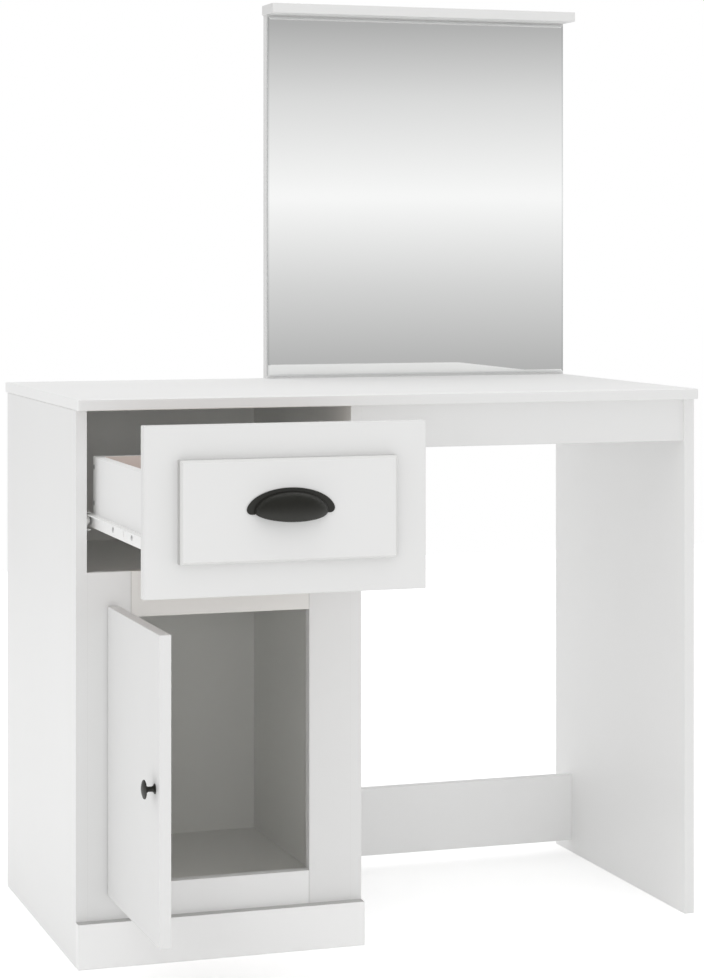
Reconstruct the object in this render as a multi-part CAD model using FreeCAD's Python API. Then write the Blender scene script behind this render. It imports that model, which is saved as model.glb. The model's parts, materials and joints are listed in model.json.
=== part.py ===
import FreeCAD, Part
import math
import os

# Dressing table with one drawer, one door cabinet and a standing mirror.
# Millimetres, +Z up, the front of the table faces -Y.
# The drawer stands pulled out and the door stands open at a right angle.

# Main sizes
TABLE_WIDTH = 900.0
TABLE_DEPTH = 500.0
TABLE_HEIGHT = 750.0
TOTAL_HEIGHT = 1325.0
BOARD = 15.0
TOP_FRONT_OVERHANG = 15.0
TOP_BACK_OVERHANG = 15.0
EDGE_ROUND = 0.9
TOP_EDGE_ROUND = 1.6
TOP_CORNER_ROUND = 3.0

# Cabinet and its face frame
CABINET_WIDTH = 398.0
STILE_WIDTH = 59.75
PLINTH_HEIGHT = 60.0
PLINTH_THICK = 15.0
BOTTOM_RAIL_RISE = 44.5
DRAWER_OPENING = 214.5
MIDDLE_RAIL_HEIGHT = 61.0
DIVIDER_DROP = 10.5
BACK_PANEL_THICK = 3.0
BACK_PANEL_INSET = 5.0
BACK_PANEL_LIFT = 20.0
FRAME_JOINT_EASE = 0.5

# Desk side
APRON_HEIGHT = 60.0
APRON_SETBACK = 4.0
STRETCHER_BOTTOM = 19.0
STRETCHER_HEIGHT = 103.0
STRETCHER_FROM_BACK = 50.0

# Mirror
MIRROR_LEFT_INSET = 4.0
MIRROR_RIGHT_INSET = 2.0
GLASS_THICK = 4.0
GLASS_SIDE_MARGIN = 2.0
GLASS_FOOT_MARGIN = 4.0
GLASS_HEAD_MARGIN = 3.0
GLASS_BEVEL = 4.0
GLASS_BEVEL_DROP = 0.8
CROWN_OVERLAP = 2.0
CROWN_DEPTH = 58.0
CROWN_CORNER_ROUND = 4.0

# Drawer
DRAWER_BACK_SPACE = 153.0
BOX_STAY = 17.0
DRAWER_FRONT_GAP_LEFT = 2.8
DRAWER_FRONT_GAP_RIGHT = 1.0
DRAWER_FRONT_GAP_BOTTOM = 1.4
DRAWER_FRONT_GAP_TOP = 1.9
RAISED_MARGIN_SIDE = 42.5
RAISED_MARGIN_END = 42.0
RAISED_THICK = 15.0
RAISED_BEVEL = 3.0
BOX_BOARD = 12.0
BOX_LIFT = 59.0
BOX_HEIGHT = 93.8
BOX_FLOOR_THICK = 3.0
BOX_FLOOR_LIFT = 12.0
GROOVE_DEPTH = 7.0
GROOVE_PLAY = 0.1
FLOOR_IN_FRONT = 5.0
BOX_EDGE_ROUND = 1.2

# Roller slides
SLIDE_SPACE = 12.5
SHEET = 1.2
CHANNEL_FRONT = 17.0
CHANNEL_TAIL = 40.0
CHANNEL_DROP = 4.7
CHANNEL_HEIGHT = 24.2
CHANNEL_REACH = 9.5
RUNNER_HEIGHT = 18.4
RUNNER_TAIL = 28.0
RUNNER_SLOT_FRONT = 28.0
RUNNER_SLOT_REAR = 125.0
RUNNER_SLOT_WIDTH = 3.6
RUNNER_SLOT_HEIGHT = 8.0
ROLLER_RADIUS = 6.5
ROLLER_WIDTH = 6.0
ROLLER_BORE = 2.0
ROLLER_PLAY = 0.05
ROLLER_GAP = 0.3
FRONT_ROLLER_SETBACK = 7.5
REAR_ROLLER_SPACING = 13.0
ROLLER_RIM = 0.7
ROLLER_SIDE_PLAY = 0.8
AXLE_HEAD = 1.4

# Door
DOOR_OVERLAP_LEFT = 17.05
DOOR_OVERLAP_RIGHT = 11.55
DOOR_OVERLAP_BOTTOM = 13.0
DOOR_OVERLAP_TOP = 16.0
DOOR_THICK = 15.0
KNOB_FROM_EDGE = 23.0
KNOB_RADIUS = 11.9
KNOB_LENGTH = 17.0
KNOB_NECK = 3.3
KNOB_FOOT = 6.4
KNOB_BORE = 1.9
KNOB_BORE_DEPTH = 9.6
KNOB_FOOT_THICK = 0.8
KNOB_NECK_FROM = 4.6
KNOB_NECK_TO = 8.6
KNOB_CAP_RISE = 3.4

# Butt hinges
HINGE_LENGTH = 50.0
HINGE_FROM_END = 35.0
KNUCKLE_RADIUS = 2.4
KNUCKLE_GAP = 0.5
PIN_RADIUS = 1.2
PIN_PLAY = 0.05
LEAF_THICK = 1.2
LEAF_REACH = 16.5
HINGE_AIR = 0.2
HINGE_RECESS_END = 1.5
HINGE_SCREW_FROM_END = 9.0
HINGE_SCREW_FROM_EDGE = 5.0

# Fasteners
DOWEL_RADIUS = 4.0
DOWEL_LENGTH = 30.0
CAM_RADIUS = 6.0
BOLT_RADIUS = 2.5
BOLT_BITE = 9.0
CAM_FROM_END = 24.0
CAM_FROM_EDGE = 60.0
CAM_SLOT_LENGTH = 10.0
CAM_SLOT_WIDTH = 1.8
CAM_SLOT_DEPTH = 1.6
BOLT_COLLAR = 1.2
BOLT_COLLAR_THICK = 1.5
TOP_DOWEL_FROM_EDGE = 70.0
BOX_DOWEL_LENGTH = 26.0
BOX_DOWEL_RADIUS = 3.0
BOX_DOWEL_SHIFT = 4.0
BOX_JOINT_FROM_BOTTOM = 32.0
BOX_JOINT_FROM_TOP = 14.0
BOX_SCREW_LENGTH = 32.0
RUNNER_SCREW_LENGTH = 10.0
RUNNER_SCREW_LIFT = 7.6
RUNNER_SCREW_HEAD = 3.7
PLINTH_DOWEL_LENGTH = 18.0
MIRROR_SCREW_LENGTH = 50.0
MIRROR_SCREW_RADIUS = 3.0
PANEL_SCREW_FROM_SIDE = 30.0
PANEL_SCREW_FROM_BOTTOM = 45.0
PANEL_SCREW_FROM_TOP = 20.0
NAIL_LENGTH = 16.0
NAIL_RADIUS = 0.7
NAIL_FROM_SIDE = 9.5
FIT = 0.05

# Cup handle
CUP_WIDTH = 95.0
CUP_REACH = 24.5
CUP_SHELL = 2.2
CUP_LIP_ANGLE = 28.0
CUP_END_CUT = 2.0
CUP_END_DROP = 3.0
CUP_END_ROUND = 6.0
CUP_FLANGE_SIDE = 9.5
CUP_FLANGE_TOP = 4.5
CUP_FLANGE_THICK = 1.8
CUP_BOSS_SPREAD = 32.0
CUP_BOSS_RADIUS = 4.5
CUP_BOSS_HEIGHT = 7.0
CUP_BOSS_BORE = 6.5
CUP_BELOW_MIDDLE = 1.5
CUP_SCREW_RADIUS = 2.0

# Derived sizes
PANEL_DEPTH = TABLE_DEPTH - TOP_FRONT_OVERHANG - TOP_BACK_OVERHANG
PANEL_HEIGHT = TABLE_HEIGHT - BOARD
BOTTOM_RAIL_TOP = PLINTH_HEIGHT + BOTTOM_RAIL_RISE
MIDDLE_RAIL_TOP = PANEL_HEIGHT - DRAWER_OPENING
MIDDLE_RAIL_BOTTOM = MIDDLE_RAIL_TOP - MIDDLE_RAIL_HEIGHT
DIVIDER_TOP = MIDDLE_RAIL_TOP - DIVIDER_DROP
INNER_LEFT = BOARD
INNER_RIGHT = CABINET_WIDTH - BOARD
OPEN_LEFT = BOARD + STILE_WIDTH
OPEN_RIGHT = CABINET_WIDTH - BOARD - STILE_WIDTH
LEG_LEFT = TABLE_WIDTH - BOARD
TOP_BACK = PANEL_DEPTH + TOP_BACK_OVERHANG
CABINET_MIDDLE = CABINET_WIDTH / 2.0
DRAWER_PULL = PANEL_DEPTH - DRAWER_BACK_SPACE - BOX_STAY
DRAWER_FACE = -DRAWER_PULL
DRAWER_BACKFACE = DRAWER_FACE + BOARD
RAISED_FACE = DRAWER_FACE - RAISED_THICK
FRONT_LEFT = INNER_LEFT + DRAWER_FRONT_GAP_LEFT
FRONT_RIGHT = INNER_RIGHT - DRAWER_FRONT_GAP_RIGHT
FRONT_MIDDLE = (FRONT_LEFT + FRONT_RIGHT) / 2.0
FRONT_BOTTOM = MIDDLE_RAIL_TOP + DRAWER_FRONT_GAP_BOTTOM
FRONT_TOP = PANEL_HEIGHT - DRAWER_FRONT_GAP_TOP
BOX_LEFT = INNER_LEFT + SLIDE_SPACE
BOX_RIGHT = INNER_RIGHT - SLIDE_SPACE
BOX_REAR = BOX_STAY
BOX_LENGTH = BOX_REAR - DRAWER_BACKFACE
BOX_BOTTOM = MIDDLE_RAIL_TOP + BOX_LIFT
BOX_TOP = BOX_BOTTOM + BOX_HEIGHT
BOX_FLOOR = BOX_BOTTOM + BOX_FLOOR_LIFT
CHANNEL_LENGTH = DRAWER_PULL + CHANNEL_TAIL
CHANNEL_BOTTOM = BOX_BOTTOM - CHANNEL_DROP
CHANNEL_TOP = CHANNEL_BOTTOM + CHANNEL_HEIGHT
RUNNER_BOTTOM = BOX_BOTTOM - SHEET
RUNNER_TOP = RUNNER_BOTTOM + RUNNER_HEIGHT
MIRROR_RIGHT = TABLE_WIDTH - MIRROR_RIGHT_INSET
MIRROR_LEFT = CABINET_WIDTH + MIRROR_LEFT_INSET
MIRROR_WIDTH = MIRROR_RIGHT - MIRROR_LEFT
MIRROR_TOP = TOTAL_HEIGHT - BOARD
MIRROR_FACE = TOP_BACK - BOARD
STRETCHER_FACE = PANEL_DEPTH - STRETCHER_FROM_BACK - BOARD
CUP_HEIGHT_ON_PANEL = (FRONT_BOTTOM + FRONT_TOP) / 2.0 - CUP_BELOW_MIDDLE
CAM_DEPTH = BOARD - 4.0
DOWEL_BITE = BOARD - 5.0
SLIDE_SCREW = BOARD - 3.0
HINGE_SCREW = BOARD - 3.0

# The hinge pin stands at the back corner of the closed door, in front of the frame.
DOOR_LEFT = OPEN_LEFT - DOOR_OVERLAP_LEFT
DOOR_BOTTOM = BOTTOM_RAIL_TOP - DOOR_OVERLAP_BOTTOM
DOOR_GAP = 2.0 * LEAF_THICK + HINGE_AIR
PIN_X = DOOR_LEFT
PIN_Y = -KNUCKLE_RADIUS - HINGE_AIR

# The origin lies on the floor under the middle of the whole outline.
OUTLINE_FRONT = RAISED_FACE - CUP_REACH
OUTLINE_BACK = TOP_BACK
ORIGIN_X = TABLE_WIDTH / 2.0
ORIGIN_Y = (OUTLINE_FRONT + OUTLINE_BACK) / 2.0

solids = {}


def vec(x, y, z):
    return FreeCAD.Vector(x, y, z)


def block(x0, x1, y0, y1, z0, z1):
    return Part.makeBox(x1 - x0, y1 - y0, z1 - z0, vec(x0, y0, z0))


def rod(radius, length, start, direction):
    return Part.makeCylinder(radius, length, start, direction)


def soften(shape, radius, wanted):
    picked = []
    for edge in shape.Edges:
        first = edge.Vertexes[0].Point
        last = edge.Vertexes[-1].Point
        middle = (first + last) * 0.5
        along = last - first
        if along.Length < 4.0 * radius:
            continue
        along.normalize()
        if wanted(middle, along):
            picked.append(edge)
    if not picked:
        return shape
    return shape.makeFillet(radius, picked)


def near(a, b):
    return abs(a - b) < 0.01


def board(x0, x1, y0, y1, z0, z1, radius=EDGE_ROUND):
    shape = block(x0, x1, y0, y1, z0, z1)
    if radius > 0.0:
        shape = shape.makeFillet(radius, shape.Edges)
    return shape


def drill(names, hole):
    for name in names:
        solids[name] = solids[name].cut(hole)


def mirrored(shape):
    return shape.mirror(vec(CABINET_MIDDLE, 0, 0), vec(1, 0, 0))


def revolved(points, centre, direction):
    # Profile points are (radius, distance along the axis).
    corners = []
    for radius, along in points:
        corners.append(vec(radius, 0, along))
    corners.append(corners[0])
    face = Part.Face(Part.makePolygon(corners))
    solid = face.revolve(vec(0, 0, 0), vec(0, 0, 1), 360)
    turn = FreeCAD.Rotation(vec(0, 0, 1), direction)
    solid.Placement = FreeCAD.Placement(centre, turn)
    return Part.Solid(solid) if solid.ShapeType == "Shell" else solid


def pan_screw(tip_length, head_radius, head_height, shank_radius, at, direction):
    # A rounded head outside the surface and a shank that runs into it.
    points = []
    points.append((0.0, tip_length))
    points.append((shank_radius * 0.3, tip_length))
    points.append((shank_radius, tip_length - shank_radius * 1.6))
    points.append((shank_radius, 0.0))
    points.append((head_radius, 0.0))
    points.append((head_radius * 0.86, -head_height * 0.62))
    points.append((head_radius * 0.5, -head_height))
    points.append((0.0, -head_height))
    return revolved(points, at, direction)


def shank_hole(length, radius, at, direction):
    unit = FreeCAD.Vector(direction)
    unit.normalize()
    start = at - unit * 0.5
    return rod(radius + FIT, length + 0.7, start, unit)


def dowel(at, direction, length=DOWEL_LENGTH, radius=DOWEL_RADIUS):
    unit = FreeCAD.Vector(direction)
    unit.normalize()
    start = at - unit * (length / 2.0)
    pin = rod(radius, length, start, unit)
    ends = []
    for edge in pin.Edges:
        if edge.Closed:
            ends.append(edge)
    return pin.makeChamfer(0.8, ends)


def dowel_hole(at, direction, length=DOWEL_LENGTH, radius=DOWEL_RADIUS):
    unit = FreeCAD.Vector(direction)
    unit.normalize()
    start = at - unit * (length / 2.0 + 0.5)
    return rod(radius + FIT, length + 1.0, start, unit)


# Boards of the frame

tabletop = block(0, TABLE_WIDTH, -TOP_FRONT_OVERHANG, TOP_BACK, PANEL_HEIGHT, TABLE_HEIGHT)
tabletop = soften(tabletop, TOP_CORNER_ROUND, lambda m, a: near(abs(a.z), 1.0) and m.y < 0)
tabletop = soften(tabletop, TOP_EDGE_ROUND, lambda m, a: near(abs(a.z), 0.0))
solids["tabletop"] = tabletop


def upright(x0, x1, y0, y1, z0, z1):
    shape = block(x0, x1, y0, y1, z0, z1)
    return soften(shape, EDGE_ROUND, lambda m, a: near(abs(a.z), 1.0))


left_side = block(0, BOARD, 0, PANEL_DEPTH, 0, PANEL_HEIGHT)
left_side = soften(left_side, EDGE_ROUND, lambda m, a: near(abs(a.z), 1.0) and m.x < 1.0)
solids["left_side_panel"] = left_side

right_side = block(INNER_RIGHT, CABINET_WIDTH, 0, PANEL_DEPTH, 0, PANEL_HEIGHT)
right_side = soften(right_side, EDGE_ROUND, lambda m, a: near(abs(a.z), 1.0) and m.x > INNER_RIGHT + 1.0)
solids["cabinet_right_panel"] = right_side

solids["right_leg_panel"] = upright(LEG_LEFT, TABLE_WIDTH, 0, PANEL_DEPTH, 0, PANEL_HEIGHT)

solids["cabinet_bottom_panel"] = block(
    INNER_LEFT, INNER_RIGHT, BOARD, PANEL_DEPTH, PLINTH_HEIGHT - BOARD, PLINTH_HEIGHT)
solids["cabinet_divider"] = block(
    INNER_LEFT, INNER_RIGHT, BOARD, PANEL_DEPTH, DIVIDER_TOP - BOARD, DIVIDER_TOP)
solids["cabinet_back_panel"] = block(
    BACK_PANEL_INSET, CABINET_WIDTH - BACK_PANEL_INSET, PANEL_DEPTH, PANEL_DEPTH + BACK_PANEL_THICK,
    BACK_PANEL_LIFT, PANEL_HEIGHT - BACK_PANEL_INSET)


def stile(x0, x1, inner):
    shape = block(x0, x1, 0, BOARD, 0, MIDDLE_RAIL_TOP)
    return soften(shape, FRAME_JOINT_EASE,
                  lambda m, a: near(abs(a.z), 1.0) and near(m.x, inner) and m.y < 1.0)


def rail(z0, z1):
    shape = block(OPEN_LEFT, OPEN_RIGHT, 0, BOARD, z0, z1)
    return soften(shape, FRAME_JOINT_EASE, lambda m, a: m.y < 1.0)


solids["left_stile"] = stile(INNER_LEFT, OPEN_LEFT, OPEN_LEFT)
solids["right_stile"] = stile(OPEN_RIGHT, INNER_RIGHT, OPEN_RIGHT)
solids["middle_rail"] = rail(MIDDLE_RAIL_BOTTOM, MIDDLE_RAIL_TOP)
solids["bottom_rail"] = rail(PLINTH_HEIGHT - BOARD, BOTTOM_RAIL_TOP)

plinth = block(0, CABINET_WIDTH, -PLINTH_THICK, 0, 0, PLINTH_HEIGHT)
plinth = soften(plinth, EDGE_ROUND, lambda m, a: m.y < -1.0 or (near(abs(a.y), 1.0) and m.z > 1.0))
solids["plinth_board"] = plinth

apron = block(CABINET_WIDTH, LEG_LEFT, APRON_SETBACK, APRON_SETBACK + BOARD,
              PANEL_HEIGHT - APRON_HEIGHT, PANEL_HEIGHT)
apron = soften(apron, EDGE_ROUND, lambda m, a: near(abs(a.x), 1.0) and m.z < PANEL_HEIGHT - 1.0)
solids["apron"] = apron

stretcher = block(CABINET_WIDTH, LEG_LEFT, STRETCHER_FACE, STRETCHER_FACE + BOARD,
                  STRETCHER_BOTTOM, STRETCHER_BOTTOM + STRETCHER_HEIGHT)
stretcher = soften(stretcher, EDGE_ROUND, lambda m, a: near(abs(a.x), 1.0))
solids["stretcher"] = stretcher

# Mirror

mirror_board = block(MIRROR_LEFT, MIRROR_RIGHT, MIRROR_FACE, TOP_BACK, TABLE_HEIGHT, MIRROR_TOP)
solids["mirror_backboard"] = soften(mirror_board, EDGE_ROUND, lambda m, a: near(abs(a.z), 1.0))

glass_back = MIRROR_FACE
glass_front = MIRROR_FACE - GLASS_THICK
box_low = vec(MIRROR_LEFT + GLASS_SIDE_MARGIN, glass_front, TABLE_HEIGHT + GLASS_FOOT_MARGIN)
box_high = vec(MIRROR_RIGHT - GLASS_SIDE_MARGIN, glass_front, MIRROR_TOP - GLASS_HEAD_MARGIN)


def rectangle(inset, depth):
    x0 = box_low.x + inset
    x1 = box_high.x - inset
    z0 = box_low.z + inset
    z1 = box_high.z - inset
    corners = [vec(x0, depth, z0), vec(x1, depth, z0), vec(x1, depth, z1), vec(x0, depth, z1)]
    corners.append(corners[0])
    return Part.makePolygon(corners)


glass_slab = block(box_low.x, box_high.x, glass_front + GLASS_BEVEL_DROP, glass_back, box_low.z, box_high.z)
bevel_outlines = [rectangle(0.0, glass_front + GLASS_BEVEL_DROP), rectangle(GLASS_BEVEL, glass_front)]
glass_cap = Part.makeLoft(bevel_outlines, True, True)
solids["mirror_glass"] = glass_slab.fuse(glass_cap).removeSplitter()

crown = block(MIRROR_LEFT - CROWN_OVERLAP, MIRROR_RIGHT + CROWN_OVERLAP, TOP_BACK - CROWN_DEPTH, TOP_BACK,
              MIRROR_TOP, TOTAL_HEIGHT)
crown = soften(crown, CROWN_CORNER_ROUND, lambda m, a: near(abs(a.z), 1.0) and m.y < TOP_BACK - 1.0)
solids["mirror_crown"] = soften(crown, EDGE_ROUND, lambda m, a: near(abs(a.z), 0.0))

# Drawer boards

solids["drawer_front"] = board(FRONT_LEFT, FRONT_RIGHT, DRAWER_FACE, DRAWER_BACKFACE,
                               FRONT_BOTTOM, FRONT_TOP)

raised = block(FRONT_LEFT + RAISED_MARGIN_SIDE, FRONT_RIGHT - RAISED_MARGIN_SIDE, RAISED_FACE, DRAWER_FACE,
               FRONT_BOTTOM + RAISED_MARGIN_END, FRONT_TOP - RAISED_MARGIN_END)
raised_edges = []
for edge in raised.Edges:
    if edge.BoundBox.YMax < RAISED_FACE + 0.01:
        raised_edges.append(edge)
raised = raised.makeChamfer(RAISED_BEVEL, raised_edges)
solids["drawer_raised_panel"] = raised

box_left = block(BOX_LEFT, BOX_LEFT + BOX_BOARD, DRAWER_BACKFACE, BOX_REAR, BOX_BOTTOM, BOX_TOP)
box_left = soften(box_left, BOX_EDGE_ROUND, lambda m, a: near(abs(a.y), 1.0) and m.z > BOX_TOP - 1.0)
groove = block(BOX_LEFT + BOX_BOARD - GROOVE_DEPTH, BOX_LEFT + BOX_BOARD + 1.0, DRAWER_BACKFACE - 1.0,
               BOX_REAR + 1.0, BOX_FLOOR - GROOVE_PLAY, BOX_FLOOR + BOX_FLOOR_THICK + GROOVE_PLAY)
box_left = box_left.cut(groove)
solids["drawer_left_side"] = box_left
solids["drawer_right_side"] = mirrored(box_left)

box_back = block(BOX_LEFT + BOX_BOARD, BOX_RIGHT - BOX_BOARD, BOX_REAR - BOX_BOARD, BOX_REAR,
                 BOX_FLOOR + BOX_FLOOR_THICK, BOX_TOP)
box_back = soften(box_back, BOX_EDGE_ROUND, lambda m, a: near(abs(a.x), 1.0) and m.z > BOX_TOP - 1.0)
solids["drawer_back"] = box_back

floor_left = BOX_LEFT + BOX_BOARD - GROOVE_DEPTH + 1.0
floor_front = DRAWER_BACKFACE - FLOOR_IN_FRONT
solids["drawer_bottom"] = block(floor_left, CABINET_WIDTH - floor_left, floor_front, BOX_REAR,
                                BOX_FLOOR, BOX_FLOOR + BOX_FLOOR_THICK)
front_groove = block(floor_left - GROOVE_PLAY, CABINET_WIDTH - floor_left + GROOVE_PLAY, floor_front - 0.5,
                     DRAWER_BACKFACE + 1.0, BOX_FLOOR - GROOVE_PLAY,
                     BOX_FLOOR + BOX_FLOOR_THICK + GROOVE_PLAY)
drill(["drawer_front"], front_groove)

# Roller slides: a channel on the cabinet side and an angled runner under the drawer side

channel_back = CHANNEL_FRONT + CHANNEL_LENGTH
channel_profile = [
    vec(INNER_LEFT, CHANNEL_FRONT, CHANNEL_BOTTOM),
    vec(INNER_LEFT + CHANNEL_REACH, CHANNEL_FRONT, CHANNEL_BOTTOM),
    vec(INNER_LEFT + CHANNEL_REACH, CHANNEL_FRONT, CHANNEL_BOTTOM + SHEET),
    vec(INNER_LEFT + SHEET, CHANNEL_FRONT, CHANNEL_BOTTOM + SHEET),
    vec(INNER_LEFT + SHEET, CHANNEL_FRONT, CHANNEL_TOP - SHEET),
    vec(INNER_LEFT + CHANNEL_REACH, CHANNEL_FRONT, CHANNEL_TOP - SHEET),
    vec(INNER_LEFT + CHANNEL_REACH, CHANNEL_FRONT, CHANNEL_TOP),
    vec(INNER_LEFT, CHANNEL_FRONT, CHANNEL_TOP),
    vec(INNER_LEFT, CHANNEL_FRONT, CHANNEL_BOTTOM),
]
channel = Part.Face(Part.makePolygon(channel_profile)).extrude(vec(0, CHANNEL_LENGTH, 0))
front_roller_y = CHANNEL_FRONT + FRONT_ROLLER_SETBACK
front_roller_z = RUNNER_TOP - SHEET - ROLLER_GAP - ROLLER_RADIUS
roller_left = INNER_LEFT + SHEET + ROLLER_SIDE_PLAY
axle_left = INNER_LEFT + SHEET
front_axle = rod(ROLLER_BORE, ROLLER_WIDTH + 1.0, vec(axle_left, front_roller_y, front_roller_z),
                 vec(1, 0, 0))
head_left = roller_left + ROLLER_WIDTH + 0.2
front_head_at = vec(head_left, front_roller_y, front_roller_z)
front_axle_head = rod(ROLLER_BORE + AXLE_HEAD, 1.0, front_head_at, vec(1, 0, 0))
channel = channel.fuse(front_axle).fuse(front_axle_head)

runner_outer = BOX_LEFT - SHEET
runner_flange = INNER_LEFT + SHEET + 1.3
runner_front = DRAWER_BACKFACE + 0.5
runner_back = BOX_REAR + RUNNER_TAIL
runner_profile = [
    vec(runner_outer, runner_front, RUNNER_BOTTOM),
    vec(BOX_LEFT + BOX_BOARD - 1.0, runner_front, RUNNER_BOTTOM),
    vec(BOX_LEFT + BOX_BOARD - 1.0, runner_front, BOX_BOTTOM),
    vec(BOX_LEFT, runner_front, BOX_BOTTOM),
    vec(BOX_LEFT, runner_front, RUNNER_TOP),
    vec(runner_flange, runner_front, RUNNER_TOP),
    vec(runner_flange, runner_front, RUNNER_TOP - SHEET),
    vec(runner_outer, runner_front, RUNNER_TOP - SHEET),
    vec(runner_outer, runner_front, RUNNER_BOTTOM),
]
runner = Part.Face(Part.makePolygon(runner_profile)).extrude(vec(0, runner_back - runner_front, 0))
rear_roller_y = front_roller_y + REAR_ROLLER_SPACING
rear_roller_z = CHANNEL_BOTTOM + SHEET + ROLLER_GAP + ROLLER_RADIUS
rear_axle_at = vec(roller_left, rear_roller_y, rear_roller_z)
rear_axle = rod(ROLLER_BORE, runner_outer - roller_left, rear_axle_at, vec(1, 0, 0))
rear_head_at = vec(roller_left - 0.3, rear_roller_y, rear_roller_z)
rear_axle_head = rod(ROLLER_BORE + AXLE_HEAD, 0.7, rear_head_at, vec(1, 0, 0))
rear_roller_left = roller_left + 0.7
runner = runner.fuse(rear_axle).fuse(rear_axle_head)
slot_z = (RUNNER_BOTTOM + RUNNER_TOP - RUNNER_SLOT_HEIGHT) / 2.0
for along in [RUNNER_SLOT_FRONT, RUNNER_SLOT_REAR]:
    slot_y = DRAWER_BACKFACE + along - RUNNER_SLOT_WIDTH / 2.0
    cut = block(runner_outer - 1.0, BOX_LEFT + 0.001, slot_y, slot_y + RUNNER_SLOT_WIDTH,
                slot_z, slot_z + RUNNER_SLOT_HEIGHT)
    runner = runner.cut(cut)
solids["left_cabinet_slide"] = channel
solids["left_drawer_slide"] = runner


def roller(x0, y, z):
    edge_radius = ROLLER_RADIUS - ROLLER_RIM
    points = [
        (ROLLER_BORE + ROLLER_PLAY, 0.0),
        (edge_radius, 0.0),
        (ROLLER_RADIUS, ROLLER_RIM),
        (ROLLER_RADIUS, ROLLER_WIDTH - ROLLER_RIM),
        (edge_radius, ROLLER_WIDTH),
        (ROLLER_BORE + ROLLER_PLAY, ROLLER_WIDTH),
    ]
    return revolved(points, vec(x0, y, z), vec(1, 0, 0))


solids["front_left_roller"] = roller(roller_left, front_roller_y, front_roller_z)
solids["rear_left_roller"] = roller(rear_roller_left, rear_roller_y, rear_roller_z)

# Slide screws

cabinet_screws = []
cabinet_screw_z = RUNNER_TOP - SHEET - 3.3
for share in [0.18, 0.56, 0.94]:
    at = vec(INNER_LEFT + SHEET, CHANNEL_FRONT + share * CHANNEL_LENGTH, cabinet_screw_z)
    cabinet_screws.append(pan_screw(SLIDE_SCREW, 2.6, 1.0, 1.5, at, vec(-1, 0, 0)))
    hole = shank_hole(SLIDE_SCREW, 1.5, at, vec(-1, 0, 0))
    drill(["left_cabinet_slide", "left_side_panel"], hole)
    drill(["cabinet_right_panel"], mirrored(hole))
drawer_screws = []
for share in [0.04, 0.265, 0.6]:
    at = vec(runner_outer, runner_front + share * BOX_LENGTH, BOX_BOTTOM + RUNNER_SCREW_LIFT)
    drawer_screws.append(pan_screw(RUNNER_SCREW_LENGTH, RUNNER_SCREW_HEAD, 1.0, 1.6, at, vec(1, 0, 0)))
    hole = shank_hole(RUNNER_SCREW_LENGTH, 1.6, at, vec(1, 0, 0))
    drill(["left_drawer_slide", "drawer_left_side"], hole)
    drill(["drawer_right_side"], mirrored(hole))
solids["right_cabinet_slide"] = mirrored(solids["left_cabinet_slide"])
solids["right_drawer_slide"] = mirrored(solids["left_drawer_slide"])
solids["front_right_roller"] = mirrored(solids["front_left_roller"])
solids["rear_right_roller"] = mirrored(solids["rear_left_roller"])
solids["cabinet_slide_screws"] = Part.makeCompound(cabinet_screws + [mirrored(s) for s in cabinet_screws])
solids["drawer_slide_screws"] = Part.makeCompound(drawer_screws + [mirrored(s) for s in drawer_screws])

# Door, built closed and then swung open about its hinge pin

door_right = OPEN_RIGHT + DOOR_OVERLAP_RIGHT
door_back = -DOOR_GAP
door_front = door_back - DOOR_THICK
door_top = MIDDLE_RAIL_BOTTOM + DOOR_OVERLAP_TOP
door_middle = (DOOR_BOTTOM + door_top) / 2.0
door_nodes = {}
door_nodes["door_panel"] = board(DOOR_LEFT, door_right, door_front, door_back, DOOR_BOTTOM, door_top)

knob_x = door_right - KNOB_FROM_EDGE
knob_at = vec(knob_x, door_front, door_middle)
knob_rim_along = KNOB_LENGTH - KNOB_CAP_RISE
cap_edge = vec(KNOB_RADIUS - 1.0, 0, knob_rim_along + 1.0)
cap_drop = KNOB_LENGTH - cap_edge.z
cap_sphere = (cap_edge.x ** 2 + cap_drop ** 2) / (2.0 * cap_drop)
half_x = cap_edge.x / 2.0
half_z = KNOB_LENGTH - cap_sphere + math.sqrt(cap_sphere ** 2 - half_x ** 2)
neck_start = vec(KNOB_NECK, 0, KNOB_NECK_FROM)
neck_end = vec(KNOB_NECK, 0, KNOB_NECK_TO)
foot_top = vec(KNOB_FOOT, 0, KNOB_FOOT_THICK)
bore_end = vec(KNOB_BORE, 0, KNOB_BORE_DEPTH)
bell_edge = vec(KNOB_RADIUS - 1.2, 0, knob_rim_along - 1.0)
rim_top = vec(KNOB_RADIUS, 0, knob_rim_along)
knob_wire = Part.Wire([
    Part.LineSegment(vec(KNOB_BORE, 0, 0), vec(KNOB_FOOT, 0, 0)).toShape(),
    Part.LineSegment(vec(KNOB_FOOT, 0, 0), foot_top).toShape(),
    Part.Arc(foot_top, vec(4.1, 0, 2.2), neck_start).toShape(),
    Part.LineSegment(neck_start, neck_end).toShape(),
    Part.Arc(neck_end, vec(5.4, 0, 11.3), bell_edge).toShape(),
    Part.Arc(bell_edge, rim_top, cap_edge).toShape(),
    Part.Arc(cap_edge, vec(half_x, 0, half_z), vec(0, 0, KNOB_LENGTH)).toShape(),
    Part.LineSegment(vec(0, 0, KNOB_LENGTH), vec(0, 0, KNOB_BORE_DEPTH)).toShape(),
    Part.LineSegment(vec(0, 0, KNOB_BORE_DEPTH), bore_end).toShape(),
    Part.LineSegment(bore_end, vec(KNOB_BORE, 0, 0)).toShape(),
])
knob = Part.Face(knob_wire).revolve(vec(0, 0, 0), vec(0, 0, 1), 360)
knob.Placement = FreeCAD.Placement(knob_at, FreeCAD.Rotation(vec(0, 0, 1), vec(0, -1, 0)))
door_nodes["door_knob"] = knob
knob_screw_at = vec(knob_x, door_back, door_middle)
knob_screw_length = DOOR_THICK + 8.5
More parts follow.
